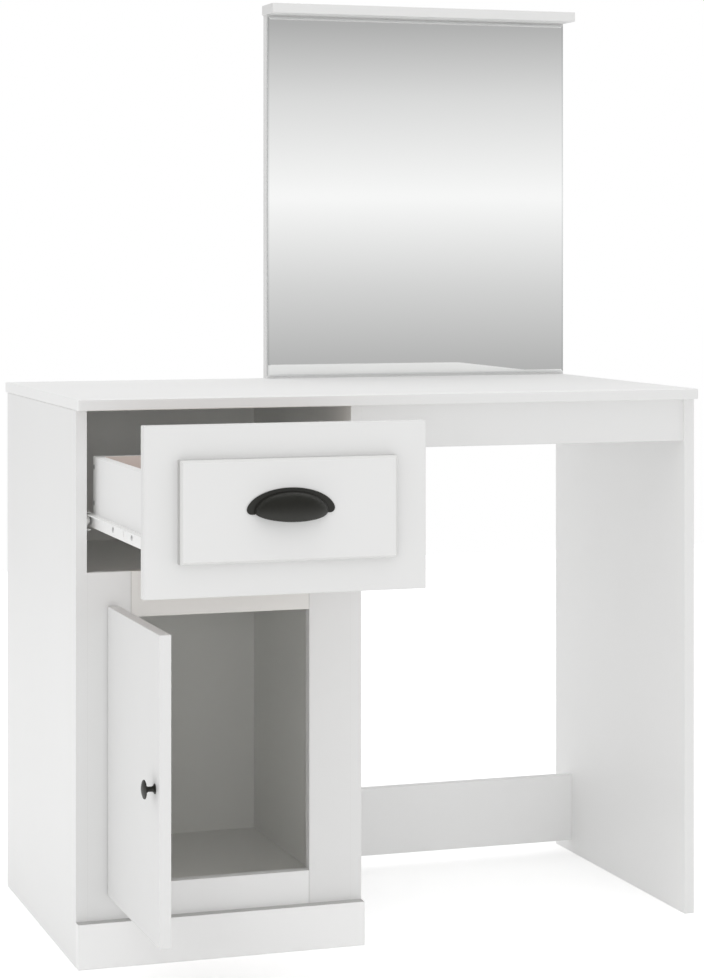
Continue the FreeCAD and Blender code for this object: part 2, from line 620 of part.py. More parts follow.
door_nodes["knob_screw"] = pan_screw(knob_screw_length, 3.6, 2.0, 1.85, knob_screw_at, vec(0, -1, 0))
door_nodes["door_panel"] = door_nodes["door_panel"].cut(
    shank_hole(knob_screw_length, 1.85, knob_screw_at, vec(0, -1, 0)))

# Butt hinges

third = (HINGE_LENGTH - 2.0 * KNUCKLE_GAP) / 3.0
pins = []
door_leaf_screws = []
frame_leaf_screws = []
hinge_names = ["lower", "upper"]
hinge_starts = [DOOR_BOTTOM + HINGE_FROM_END, door_top - HINGE_FROM_END - HINGE_LENGTH]
for name, start in zip(hinge_names, hinge_starts):
    end = start + HINGE_LENGTH
    mid_low = start + third + KNUCKLE_GAP
    mid_high = mid_low + third
    leaf_end = PIN_X + LEAF_REACH
    clear = PIN_X + KNUCKLE_RADIUS + 0.4

    frame_leaf = block(clear, leaf_end, -LEAF_THICK, 0, start, end)
    for low, high in [(start, start + third), (end - third, end)]:
        strap = block(PIN_X, clear + 0.5, -LEAF_THICK, 0, low, high)
        knuckle = rod(KNUCKLE_RADIUS, high - low, vec(PIN_X, PIN_Y, low), vec(0, 0, 1))
        web = block(PIN_X, PIN_X + KNUCKLE_RADIUS, PIN_Y, -LEAF_THICK + 0.2, low, high)
        frame_leaf = frame_leaf.fuse(strap).fuse(knuckle).fuse(web)
    pin_low = vec(PIN_X, PIN_Y, start - 1.0)
    frame_leaf = frame_leaf.cut(rod(PIN_RADIUS + 0.01, HINGE_LENGTH + 2.0, pin_low, vec(0, 0, 1)))

    door_leaf = block(clear, leaf_end, -DOOR_GAP, -DOOR_GAP + LEAF_THICK, start, end)
    strap = block(PIN_X, clear + 0.5, -DOOR_GAP, -DOOR_GAP + LEAF_THICK, mid_low, mid_high)
    knuckle = rod(KNUCKLE_RADIUS, third, vec(PIN_X, PIN_Y, mid_low), vec(0, 0, 1))
    door_leaf = door_leaf.fuse(strap).fuse(knuckle)
    door_leaf = door_leaf.cut(rod(PIN_RADIUS + PIN_PLAY, HINGE_LENGTH + 2.0, pin_low, vec(0, 0, 1)))

    recess_low = vec(PIN_X, PIN_Y, start - HINGE_RECESS_END)
    recess = rod(KNUCKLE_RADIUS + HINGE_AIR, HINGE_LENGTH + 2.0 * HINGE_RECESS_END, recess_low, vec(0, 0, 1))
    door_nodes["door_panel"] = door_nodes["door_panel"].cut(recess)

    pin = rod(PIN_RADIUS, HINGE_LENGTH + 1.0, vec(PIN_X, PIN_Y, start - 0.5), vec(0, 0, 1))
    head = rod(PIN_RADIUS + 0.8, 0.8, vec(PIN_X, PIN_Y, end), vec(0, 0, 1))
    pins.append(pin.fuse(head).removeSplitter())

    # Countersunk flush screws sit low enough for the closed leaves to pass each other.
    for place in [start + HINGE_SCREW_FROM_END, end - HINGE_SCREW_FROM_END]:
        frame_at = vec(leaf_end - HINGE_SCREW_FROM_EDGE, -LEAF_THICK, place)
        cone_points = [(0.0, HINGE_SCREW), (0.6, HINGE_SCREW), (1.2, HINGE_SCREW - 2.5)]
        cone_points = cone_points + [(1.2, LEAF_THICK), (2.3, 0.0), (0.0, 0.0)]
        frame_leaf_screws.append(revolved(cone_points, frame_at, vec(0, 1, 0)))
        hole_points = [(0.0, HINGE_SCREW + 0.3), (1.25, HINGE_SCREW + 0.3), (1.25, LEAF_THICK)]
        hole_points = hole_points + [(2.35, 0.0), (2.35, -0.5), (0.0, -0.5)]
        hole = revolved(hole_points, frame_at, vec(0, 1, 0))
        frame_leaf = frame_leaf.cut(hole)
        drill(["left_stile"], hole)
        door_at = vec(leaf_end - HINGE_SCREW_FROM_EDGE, -DOOR_GAP + LEAF_THICK, place)
        door_leaf_screws.append(revolved(cone_points, door_at, vec(0, -1, 0)))
        hole = revolved(hole_points, door_at, vec(0, -1, 0))
        door_leaf = door_leaf.cut(hole)
        door_nodes["door_panel"] = door_nodes["door_panel"].cut(hole)
    solids[name + "_hinge_frame_leaf"] = frame_leaf.removeSplitter()
    door_nodes[name + "_hinge_door_leaf"] = door_leaf.removeSplitter()
solids["hinge_pins"] = Part.makeCompound(pins)
solids["hinge_frame_screws"] = Part.makeCompound(frame_leaf_screws)
door_nodes["hinge_door_screws"] = Part.makeCompound(door_leaf_screws)
for name, shape in door_nodes.items():
    shape.rotate(vec(PIN_X, PIN_Y, 0), vec(0, 0, 1), -90.0)
    solids[name] = shape

# Cup handle: a thin half dome, turned about the line through its two ends,
# with a flat rim that lies on the raised panel


def dome_arc(half_width, radius, cut_radius):
    bow = Part.Ellipse(vec(0, 0, 0), half_width, radius)
    bow.rotate(FreeCAD.Placement(vec(0, 0, 0), vec(1, 0, 0), 90.0))
    angle = math.asin(cut_radius / radius)
    return Part.ArcOfEllipse(bow, angle, math.pi - angle).toShape()


def turned_dome(edges):
    wire = Part.Wire(Part.__sortEdges__(edges))
    return Part.Face(wire).revolve(vec(0, 0, 0), vec(1, 0, 0), 90.0 + CUP_LIP_ANGLE)


def arc_end(arc, side):
    points = [vertex.Point for vertex in arc.Vertexes]
    points.sort(key=lambda point: side * point.x)
    return points[-1]


half_cup = CUP_WIDTH / 2.0
outer_arc = dome_arc(half_cup, CUP_REACH, CUP_END_CUT)
inner_arc = dome_arc(half_cup - CUP_SHELL, CUP_REACH - CUP_SHELL, CUP_END_CUT)
half_shell = CUP_SHELL / 2.0
middle_arc = dome_arc(half_cup - half_shell, CUP_REACH - half_shell, CUP_END_CUT)
shell_edges = [outer_arc, inner_arc]
bulk_edges = [middle_arc]
bulk_floor = 0.5
for side in [-1.0, 1.0]:
    shell_edges.append(Part.LineSegment(arc_end(outer_arc, side), arc_end(inner_arc, side)).toShape())
    foot = vec(arc_end(middle_arc, side).x, 0, bulk_floor)
    bulk_edges.append(Part.LineSegment(arc_end(middle_arc, side), foot).toShape())
left_foot = vec(arc_end(middle_arc, -1.0).x, 0, bulk_floor)
right_foot = vec(arc_end(middle_arc, 1.0).x, 0, bulk_floor)
bulk_edges.append(Part.LineSegment(left_foot, right_foot).toShape())
dome = turned_dome(shell_edges)
bulk = turned_dome(bulk_edges)

rim_half = half_cup + CUP_FLANGE_SIDE
rim_rise = CUP_REACH + CUP_FLANGE_TOP


def oval_plate(half_width, half_rise, y0, y1):
    oval = Part.Ellipse(vec(0, 0, 0), half_width, half_rise)
    outline = Part.ArcOfEllipse(oval, -0.5 * math.pi, 1.5 * math.pi).toShape()
    plate = Part.Face(Part.Wire(outline)).extrude(vec(0, 0, y1 - y0))
    plate.rotate(vec(0, 0, 0), vec(1, 0, 0), 90.0)
    plate.translate(vec(0, y1, 0))
    return plate


rim_plate = oval_plate(rim_half, rim_rise, -CUP_FLANGE_THICK, 0.0)
above = block(-rim_half - 1.0, rim_half + 1.0, -CUP_FLANGE_THICK - 1.0, 1.0, -CUP_END_DROP, rim_rise + 1.0)
rim_plate = rim_plate.common(above)
rim_corners = []
for edge in rim_plate.Edges:
    box = edge.BoundBox
    if box.XLength < 0.01 and near(box.ZMin, -CUP_END_DROP) and near(box.ZMax, -CUP_END_DROP):
        rim_corners.append(edge)
rim_plate = rim_plate.makeFillet(CUP_END_ROUND, rim_corners)
rim_hole = oval_plate(half_cup - half_shell, CUP_REACH - half_shell, -CUP_FLANGE_THICK - 1.0, 1.0)
rim_plate = rim_plate.cut(rim_hole)
inside_cut = block(-half_cup + half_shell + 1.0, half_cup - half_shell - 1.0, -CUP_FLANGE_THICK - 1.0, 1.0,
                   -CUP_END_DROP - 1.0, 0.0)
rim_plate = rim_plate.cut(inside_cut)

cup = dome.fuse(rim_plate)
for side in [-1.0, 1.0]:
    boss = rod(CUP_BOSS_RADIUS, CUP_REACH, vec(side * CUP_BOSS_SPREAD, 0, CUP_BOSS_HEIGHT), vec(0, -1, 0))
    cup = cup.fuse(boss.common(bulk))
cup = cup.removeSplitter()
screw_depth = BOARD + RAISED_THICK + 6.0
handle_screws = []
for side in [-1.0, 1.0]:
    bore_at = vec(side * CUP_BOSS_SPREAD, 0.5, CUP_BOSS_HEIGHT)
    boss_hole = rod(CUP_SCREW_RADIUS + FIT, CUP_BOSS_BORE + 0.5, bore_at, vec(0, -1, 0))
    cup = cup.cut(boss_hole)
    at = vec(FRONT_MIDDLE + side * CUP_BOSS_SPREAD, DRAWER_BACKFACE, CUP_HEIGHT_ON_PANEL + CUP_BOSS_HEIGHT)
    handle_screws.append(pan_screw(screw_depth, 4.0, 2.2, CUP_SCREW_RADIUS, at, vec(0, -1, 0)))
    hole = shank_hole(screw_depth, CUP_SCREW_RADIUS, at, vec(0, -1, 0))
    drill(["drawer_front", "drawer_raised_panel"], hole)
cup.translate(vec(FRONT_MIDDLE, RAISED_FACE, CUP_HEIGHT_ON_PANEL))
solids["cup_handle"] = cup
solids["handle_screws"] = Part.makeCompound(handle_screws)

# Screws that hold the raised panel from behind

panel_screw_depth = BOARD + RAISED_THICK - 5.0
panel_screws = []
panel_screw_inset = RAISED_MARGIN_SIDE + PANEL_SCREW_FROM_SIDE
panel_screw_low = FRONT_BOTTOM + RAISED_MARGIN_END + PANEL_SCREW_FROM_BOTTOM
panel_screw_high = FRONT_TOP - RAISED_MARGIN_END - PANEL_SCREW_FROM_TOP
for x in [FRONT_LEFT + panel_screw_inset, FRONT_RIGHT - panel_screw_inset]:
    for z in [panel_screw_low, panel_screw_high]:
        at = vec(x, DRAWER_BACKFACE, z)
        panel_screws.append(pan_screw(panel_screw_depth, 3.6, 2.0, 1.8, at, vec(0, -1, 0)))
        hole = shank_hole(panel_screw_depth, 1.8, at, vec(0, -1, 0))
        drill(["drawer_front", "drawer_raised_panel"], hole)
solids["raised_panel_screws"] = Part.makeCompound(panel_screws)

# Drawer box: dowels into the front, screws into the back

front_dowels = []
for x in [BOX_LEFT + BOX_BOARD / 2.0, BOX_RIGHT - BOX_BOARD / 2.0]:
    for z in [BOX_BOTTOM + BOX_JOINT_FROM_BOTTOM, BOX_TOP - BOX_JOINT_FROM_TOP]:
        at = vec(x, DRAWER_BACKFACE + BOX_DOWEL_SHIFT, z)
        front_dowels.append(dowel(at, vec(0, 1, 0), BOX_DOWEL_LENGTH, BOX_DOWEL_RADIUS))
        names = ["drawer_front", "drawer_left_side" if x < CABINET_MIDDLE else "drawer_right_side"]
        drill(names, dowel_hole(at, vec(0, 1, 0), BOX_DOWEL_LENGTH, BOX_DOWEL_RADIUS))
solids["drawer_dowels"] = Part.makeCompound(front_dowels)

box_screws = []
for z in [BOX_BOTTOM + BOX_JOINT_FROM_BOTTOM, BOX_TOP - BOX_JOINT_FROM_TOP]:
    at = vec(BOX_LEFT, BOX_REAR - BOX_BOARD / 2.0, z)
    box_screws.append(pan_screw(BOX_SCREW_LENGTH, 3.4, 0.9, 1.7, at, vec(1, 0, 0)))
    hole = shank_hole(BOX_SCREW_LENGTH, 1.7, at, vec(1, 0, 0))
    drill(["drawer_left_side", "drawer_back"], hole)
    drill(["drawer_right_side", "drawer_back"], mirrored(hole))
solids["drawer_box_screws"] = Part.makeCompound(box_screws + [mirrored(s) for s in box_screws])

# Cam fasteners hold the level boards between the uprights

cams = []
bolts = []


def cam_joint(end, inward, face_point, face_normal, level_board, upright_board):
    # end: centre of the board's end face, inward: direction from the upright into the board.
    cam_centre = end + inward * CAM_FROM_END
    top = vec(cam_centre.x, cam_centre.y, cam_centre.z)
    shift = face_point - cam_centre
    top = top + face_normal * shift.dot(face_normal)
    cam = rod(CAM_RADIUS, CAM_DEPTH, top, face_normal * -1.0)
    slot = block(-CAM_SLOT_LENGTH / 2.0, CAM_SLOT_LENGTH / 2.0, -CAM_SLOT_WIDTH / 2.0, CAM_SLOT_WIDTH / 2.0,
                 -CAM_SLOT_DEPTH, 0.5)
    slot.Placement = FreeCAD.Placement(top, FreeCAD.Rotation(vec(0, 0, 1), face_normal))
    cam = cam.cut(slot)
    cams.append(cam)
    bolt = rod(BOLT_RADIUS, CAM_FROM_END - CAM_RADIUS + BOLT_BITE, end - inward * BOLT_BITE, inward)
    collar = rod(BOLT_RADIUS + BOLT_COLLAR, BOLT_COLLAR_THICK, end + inward * 0.4, inward)
    bolts.append(bolt.fuse(collar).removeSplitter())
    seat = rod(CAM_RADIUS + FIT, CAM_DEPTH + 1.2, top + face_normal * 1.0, face_normal * -1.0)
    drill([level_board], seat)
    drill([level_board], rod(BOLT_RADIUS + BOLT_COLLAR + FIT, CAM_FROM_END, end - inward * 0.5, inward))
    drill([upright_board], rod(BOLT_RADIUS + FIT, BOLT_BITE + 1.0, end - inward * (BOLT_BITE + 0.5), inward))


down = vec(0, 0, -1)
for level, face_z in [("cabinet_bottom_panel", PLINTH_HEIGHT - BOARD),
                      ("cabinet_divider", DIVIDER_TOP - BOARD)]:
    for y in [BOARD + CAM_FROM_EDGE, PANEL_DEPTH - CAM_FROM_EDGE]:
        z = face_z + BOARD / 2.0
        under = vec(0, y, face_z)
        cam_joint(vec(INNER_LEFT, y, z), vec(1, 0, 0), under, down, level, "left_side_panel")
        cam_joint(vec(INNER_RIGHT, y, z), vec(-1, 0, 0), under, down, level, "cabinet_right_panel")
for level, middle_y, back_y, z in [
        ("apron", APRON_SETBACK + BOARD / 2.0, APRON_SETBACK + BOARD, PANEL_HEIGHT - APRON_HEIGHT / 2.0),
        ("stretcher", STRETCHER_FACE + BOARD / 2.0, STRETCHER_FACE + BOARD,
         STRETCHER_BOTTOM + STRETCHER_HEIGHT / 2.0)]:
    behind = vec(0, back_y, z)
    rear = vec(0, 1, 0)
    cam_joint(vec(CABINET_WIDTH, middle_y, z), vec(1, 0, 0), behind, rear, level, "cabinet_right_panel")
    cam_joint(vec(LEG_LEFT, middle_y, z), vec(-1, 0, 0), behind, rear, level, "right_leg_panel")
solids["cam_discs"] = Part.makeCompound(cams)
solids["cam_bolts"] = Part.makeCompound(bolts)

# Wooden dowels

top_dowels = []
for x, name in [(BOARD / 2.0, "left_side_panel"), (CABINET_WIDTH - BOARD / 2.0, "cabinet_right_panel"),
                (TABLE_WIDTH - BOARD / 2.0, "right_leg_panel")]:
    for y in [TOP_DOWEL_FROM_EDGE, PANEL_DEPTH - TOP_DOWEL_FROM_EDGE]:
        at = vec(x, y, PANEL_HEIGHT + DOWEL_BITE - DOWEL_LENGTH / 2.0)
        top_dowels.append(dowel(at, vec(0, 0, 1)))
        drill(["tabletop", name], dowel_hole(at, vec(0, 0, 1)))
solids["tabletop_dowels"] = Part.makeCompound(top_dowels)

frame_dowels = []
for z, name in [((MIDDLE_RAIL_BOTTOM + MIDDLE_RAIL_TOP) / 2.0, "middle_rail"),
                ((PLINTH_HEIGHT + BOTTOM_RAIL_TOP) / 2.0, "bottom_rail")]:
    for x, side in [(OPEN_LEFT, "left_stile"), (OPEN_RIGHT, "right_stile")]:
        at = vec(x, BOARD / 2.0, z)
        frame_dowels.append(dowel(at, vec(1, 0, 0)))
        drill([name, side], dowel_hole(at, vec(1, 0, 0)))
for x, name, side in [(INNER_LEFT, "left_side_panel", "left_stile"),
                      (INNER_RIGHT, "cabinet_right_panel", "right_stile")]:
    for z in [MIDDLE_RAIL_TOP * 0.35, MIDDLE_RAIL_TOP * 0.73]:
        direction = DOWEL_LENGTH / 2.0 - DOWEL_BITE
        if x < CABINET_MIDDLE:
            direction = -direction
        at = vec(x - direction, BOARD / 2.0, z)
        frame_dowels.append(dowel(at, vec(1, 0, 0)))
        drill([name, side], dowel_hole(at, vec(1, 0, 0)))
solids["frame_dowels"] = Part.makeCompound(frame_dowels)

plinth_dowels = []
for x, name in [(BOARD / 2.0, "left_side_panel"), (INNER_LEFT + STILE_WIDTH / 2.0, "left_stile"),
                (INNER_RIGHT - STILE_WIDTH / 2.0, "right_stile"),
                (CABINET_WIDTH - BOARD / 2.0, "cabinet_right_panel")]:
    at = vec(x, 0.0, PLINTH_HEIGHT / 2.0)
    plinth_dowels.append(dowel(at, vec(0, 1, 0), PLINTH_DOWEL_LENGTH))
    drill(["plinth_board", name], dowel_hole(at, vec(0, 1, 0), PLINTH_DOWEL_LENGTH))
solids["plinth_dowels"] = Part.makeCompound(plinth_dowels)

mirror_middle_y = TOP_BACK - BOARD / 2.0
crown_dowels = []
for share in [0.12, 0.5, 0.88]:
    at = vec(MIRROR_LEFT + share * MIRROR_WIDTH, mirror_middle_y,
             MIRROR_TOP + DOWEL_BITE - DOWEL_LENGTH / 2.0)
    crown_dowels.append(dowel(at, vec(0, 0, 1)))
    drill(["mirror_crown", "mirror_backboard"], dowel_hole(at, vec(0, 0, 1)))
solids["crown_dowels"] = Part.makeCompound(crown_dowels)

mirror_screws = []
for share in [0.1, 0.37, 0.63, 0.9]:
    at = vec(MIRROR_LEFT + share * MIRROR_WIDTH, mirror_middle_y, PANEL_HEIGHT)
    mirror_screws.append(pan_screw(MIRROR_SCREW_LENGTH, 5.0, 2.4, MIRROR_SCREW_RADIUS, at, vec(0, 0, 1)))
    hole = shank_hole(MIRROR_SCREW_LENGTH, MIRROR_SCREW_RADIUS, at, vec(0, 0, 1))
    drill(["tabletop", "mirror_backboard"], hole)
solids["mirror_screws"] = Part.makeCompound(mirror_screws)

# Small nails along the edge of the cabinet back

nails = []
nail_y = PANEL_DEPTH + BACK_PANEL_THICK
for x, name in [(NAIL_FROM_SIDE, "left_side_panel"),
                (CABINET_WIDTH - NAIL_FROM_SIDE, "cabinet_right_panel")]:
    for share in [0.12, 0.38, 0.64, 0.9]:
        at = vec(x, nail_y, share * PANEL_HEIGHT)
        nails.append(pan_screw(NAIL_LENGTH, 2.4, 0.8, NAIL_RADIUS, at, vec(0, -1, 0)))
        drill(["cabinet_back_panel", name], shank_hole(NAIL_LENGTH, NAIL_RADIUS, at, vec(0, -1, 0)))
for x in [CABINET_WIDTH * 0.35, CABINET_WIDTH * 0.65]:
    for z, name in [(PLINTH_HEIGHT - BOARD / 2.0, "cabinet_bottom_panel"),
                    (DIVIDER_TOP - BOARD / 2.0, "cabinet_divider")]:
        at = vec(x, nail_y, z)
        nails.append(pan_screw(NAIL_LENGTH, 2.4, 0.8, NAIL_RADIUS, at, vec(0, -1, 0)))
        drill(["cabinet_back_panel", name], shank_hole(NAIL_LENGTH, NAIL_RADIUS, at, vec(0, -1, 0)))
solids["back_panel_nails"] = Part.makeCompound(nails)

# Write every node, moved so that the origin lies under the middle of the outline

os.makedirs("parts", exist_ok=True)
for name in sorted(solids):
    shape = solids[name].copy()
    shape.translate(vec(-ORIGIN_X, -ORIGIN_Y, 0))
    shape.exportStep("parts/" + name + ".step")
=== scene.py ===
import json
import math

import bmesh
import bpy
from mathutils import Matrix, Vector


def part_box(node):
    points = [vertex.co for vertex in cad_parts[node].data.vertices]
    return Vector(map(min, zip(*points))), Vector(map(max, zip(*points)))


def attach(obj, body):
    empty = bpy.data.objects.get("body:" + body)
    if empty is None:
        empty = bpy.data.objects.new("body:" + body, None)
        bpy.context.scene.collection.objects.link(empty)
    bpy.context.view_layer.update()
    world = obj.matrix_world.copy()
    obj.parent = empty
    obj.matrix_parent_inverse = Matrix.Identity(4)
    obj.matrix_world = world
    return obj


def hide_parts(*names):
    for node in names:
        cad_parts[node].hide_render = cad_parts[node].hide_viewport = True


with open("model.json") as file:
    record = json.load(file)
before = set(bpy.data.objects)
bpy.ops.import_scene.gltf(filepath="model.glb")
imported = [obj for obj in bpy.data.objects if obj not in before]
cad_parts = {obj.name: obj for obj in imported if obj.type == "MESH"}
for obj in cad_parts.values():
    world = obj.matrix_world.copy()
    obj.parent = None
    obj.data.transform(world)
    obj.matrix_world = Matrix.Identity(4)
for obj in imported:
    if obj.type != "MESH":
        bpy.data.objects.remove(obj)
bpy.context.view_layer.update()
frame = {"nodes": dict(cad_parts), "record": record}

# Camera: level, at the height that the photograph shows, with the frame shifted down
CAMERA_PLACE = (-1.19148, -3.43882, 0.94139)
CAMERA_TURN = math.radians(-18.494)
CAMERA_LENS = 95.64
CAMERA_SENSOR = 36.0
CAMERA_SHIFT_DOWN = -0.240

# Stage
FLOOR_HALF = 4.2
FLOOR_TONE = 0.96
FLOOR_GRAIN = 0.99
FLOOR_GLOW = 0.33
AMBIENT = 0.885

# The studio wall that mirrors see: its lowest and highest direction, and tones at shares of that rise
WALL_LOW = -0.0465
WALL_HIGH = 0.55
WALL_TONES = ((0.0, 0.46), (0.057, 0.70), (0.1147, 1.0), (0.1779, 0.75), (0.228, 0.445), (0.665, 0.445),
              (1.0, 0.08))

# Lamps, as name, place, width in metres and power in watts
LAMP_TARGET = (0.0, 0.0, 0.6)
LAMPS = (
    ("overhead_lamp", (0.3, -0.3, 3.6), 1.6, 20.0),
    ("front_lamp", (-1.15, -3.5, 0.95), 0.5, 5.5),
    ("left_lamp", (-2.0, -3.2, 1.0), 0.6, 4.0),
)

# Finishes, each as a lighter and a darker linear colour. Apart from WHITE, the board whites, the inside tone
# and the greys of the raised panel and plinth are copies of the white made lighter or darker: painted light
# and painted shade.
WHITE = ((0.868, 0.868, 0.864, 1.0), (0.848, 0.848, 0.842, 1.0))
# WHITE made darker: painted shade on the fronts and on the faces that take it
SHADED_WHITE = ((0.80, 0.80, 0.796, 1.0), (0.78, 0.78, 0.774, 1.0))
# WHITE made darker and a little warmer: painted shade on the middle rail under the drawer
SHADED_RAIL_TONE = ((0.82, 0.81, 0.785, 1.0), (0.80, 0.79, 0.765, 1.0))
# WHITE made lighter: painted light on the stretcher, the tabletop, the plinth and the leg's inner face
LIT_WHITE = ((0.94, 0.94, 0.936, 1.0), (0.92, 0.92, 0.914, 1.0))
# WHITE made lighter: painted light on the left side panel
SIDE_LIT_WHITE = ((0.89, 0.89, 0.886, 1.0), (0.87, 0.87, 0.864, 1.0))
# WHITE made darker: painted shade on the mirror's backboard and crown
SHADED_MIRROR_TONE = ((0.76, 0.76, 0.756, 1.0), (0.74, 0.74, 0.734, 1.0))
# WHITE made lighter: painted light on the faces inside the cabinet, lifting the shade there
LIT_INSIDE_TONE = ((0.93, 0.927, 0.90, 1.0), (0.91, 0.907, 0.88, 1.0))
DRAWER_INSIDE = ((0.70, 0.63, 0.59, 1.0), (0.66, 0.58, 0.54, 1.0))
HARDBOARD = ((0.78, 0.77, 0.74, 1.0), (0.70, 0.68, 0.64, 1.0))
# Greys on the raised panel's sides and bevel: painted shade around the raised panel
SHADED_RAISED_SIDES = ((0.54, 0.54, 0.53, 1.0), (0.49, 0.49, 0.48, 1.0))
SHADED_RAISED_BEVEL = ((0.745, 0.745, 0.735, 1.0), (0.72, 0.72, 0.71, 1.0))
# A grey on the plinth's top edge: painted shade under the face frame
SHADED_PLINTH_EDGE = ((0.52, 0.52, 0.51, 1.0), (0.48, 0.48, 0.47, 1.0))
COATED_WHITE = ((0.965, 0.965, 0.96, 1.0), (0.94, 0.94, 0.93, 1.0))
COATED_BLACK = ((0.023, 0.023, 0.019, 1.0), (0.017, 0.017, 0.014, 1.0))
NYLON = ((0.93, 0.93, 0.91, 1.0), (0.89, 0.89, 0.87, 1.0))
STEEL = ((0.66, 0.66, 0.67, 1.0), (0.50, 0.50, 0.50, 1.0))
ZINC = ((0.52, 0.52, 0.53, 1.0), (0.40, 0.40, 0.41, 1.0))
BEECH = ((0.68, 0.50, 0.32, 1.0), (0.52, 0.35, 0.20, 1.0))

# Single linear colours
SILVER = (0.93, 0.935, 0.93, 1.0)
GLASS_RIM = (0.78, 0.79, 0.788, 1.0)
SEAM_SHADE = (0.42, 0.41, 0.39, 1.0)

# Directions, and how closely a face has to look along one to take another tone, on most boards painted light
# or painted shade
TO_FRONT = (0.0, -1.0, 0.0)
TO_LEFT = (-1.0, 0.0, 0.0)
TO_RIGHT = (1.0, 0.0, 0.0)
TO_TOP = (0.0, 0.0, 1.0)
FACE_ON = 0.6
FLAT_ON = 0.9

# Fine lines on boards and glass: widths in metres, and the share of the seam's shade
EDGE_BAND = 0.0011
SEAM_WIDTH = 0.00016
SEAM_SHARE = 0.18
JOINT_WIDTH = 0.0007
JOINT_SHARE = 0.6
GLASS_BEVEL = 0.0022

# Pebbles of a board's skin, and streaks along each axis
FOIL_PEBBLE = 1100.0
HARDBOARD_PEBBLE = 700.0
STEEL_STREAKS = (900.0, 900.0, 60.0)
ZINC_STREAKS = (420.0, 420.0, 420.0)
BEECH_STREAKS = (260.0, 260.0, 40.0)

# Sheen, as the least and the greatest roughness
BOARD_SHEEN = (0.40, 0.56)
METAL_SHEEN = (0.22, 0.46)
BEECH_SHEEN = (0.55, 0.75)
GLASS_SHEEN = (0.0, 0.03)
WHITE_COAT_SHEEN = (0.28, 0.4)
NYLON_SHEEN = (0.38, 0.52)
BLACK_COAT_SHEEN = (0.36, 0.5)
PLAIN_GLOSS = 0.5
BLACK_COAT_GLOSS = 0.36

# Bump, as strength and distance
BOARD_BUMP = (0.10, 0.0002)
COAT_BUMP = (0.14, 0.0002)
METAL_BUMP = (0.12, 0.0001)
BEECH_BUMP = (0.2, 0.0002)

# Screws, as head radius, head height and shank radius in metres
SCREW_SIZES = {
    "cabinet_slide_screws": (0.0026, 0.0010, 0.0015),
    "drawer_slide_screws": (0.0037, 0.0010, 0.0016),
    "handle_screws": (0.0040, 0.0022, 0.0020),
    "raised_panel_screws": (0.0036, 0.0020, 0.0018),
    "drawer_box_screws": (0.0034, 0.0009, 0.0017),
    "mirror_screws": (0.0050, 0.0024, 0.0030),
    "knob_screw": (0.0036, 0.0020, 0.00185),
}
SUNK_SCREWS = ("hinge_frame_screws", "hinge_door_screws")
SUNK_HEAD = 0.0023
SUNK_DEPTH = 0.0012
SUNK_SHANK = 0.0012
CAM_RADIUS = 0.006

# Shares that shape the fasteners: ridges and point by the shank, crosses by the head
TURN_STEPS = 24
RIDGES = 8
RIDGE_CORE = 0.8
POINT_RADIUS = 0.3
POINT_LENGTH = 1.6
CROSS_TAPER = 0.7
SCREW_CROSS_DEPTH = 0.7
CAM_CROSS_DEPTH = 0.3
HEAD_END = 0.3
TURN_PER_FASTENER = 0.7
SHARP_ANGLE = math.radians(35.0)


# Small helpers for node trees

def put(tree, kind, **values):
    node = tree.nodes.new(kind)
    for name, value in values.items():
        setattr(node, name, value)
    return node


def fill(node, **sockets):
    for name, value in sockets.items():
        node.inputs[name.replace("_", " ")].default_value = value
    return node


def wire(tree, start, end):
    tree.links.new(start, end)


def new_group(name, inputs, outputs):
    group = bpy.data.node_groups.new(name, "ShaderNodeTree")
    for label, kind in inputs:
        group.interface.new_socket(label, in_out="INPUT", socket_type=kind)
    for label, kind in outputs:
        group.interface.new_socket(label, in_out="OUTPUT", socket_type=kind)
    entry = put(group, "NodeGroupInput")
    leave = put(group, "NodeGroupOutput")
    return group, entry, leave


def math_node(tree, operation, first, second):
    node = put(tree, "ShaderNodeMath", operation=operation)
    for index, value in enumerate((first, second)):
        if isinstance(value, (int, float)):
            node.inputs[index].default_value = value
        else:
            wire(tree, value, node.inputs[index])
    return node.outputs[0]


def blend_colour(tree, share, first, second):
    # The colour sockets of a Mix node are its inputs 6 and 7 and its output 2.
    node = put(tree, "ShaderNodeMix", data_type="RGBA")
    wire(tree, share, node.inputs["Factor"])
    for socket, value in ((node.inputs[6], first), (node.inputs[7], second)):
        if isinstance(value, tuple):
            socket.default_value = value
        else:
            wire(tree, value, socket)
    return node.outputs[2]


def ranged(tree, value, low, high):
    node = put(tree, "ShaderNodeMapRange")
    wire(tree, value, node.inputs["Value"])
    fill(node, To_Min=low, To_Max=high)
    return node.outputs["Result"]


# Shared effects

SKIN_OUTPUTS = [("Color", "NodeSocketColor"), ("Roughness", "NodeSocketFloat"), ("Height", "NodeSocketFloat")]


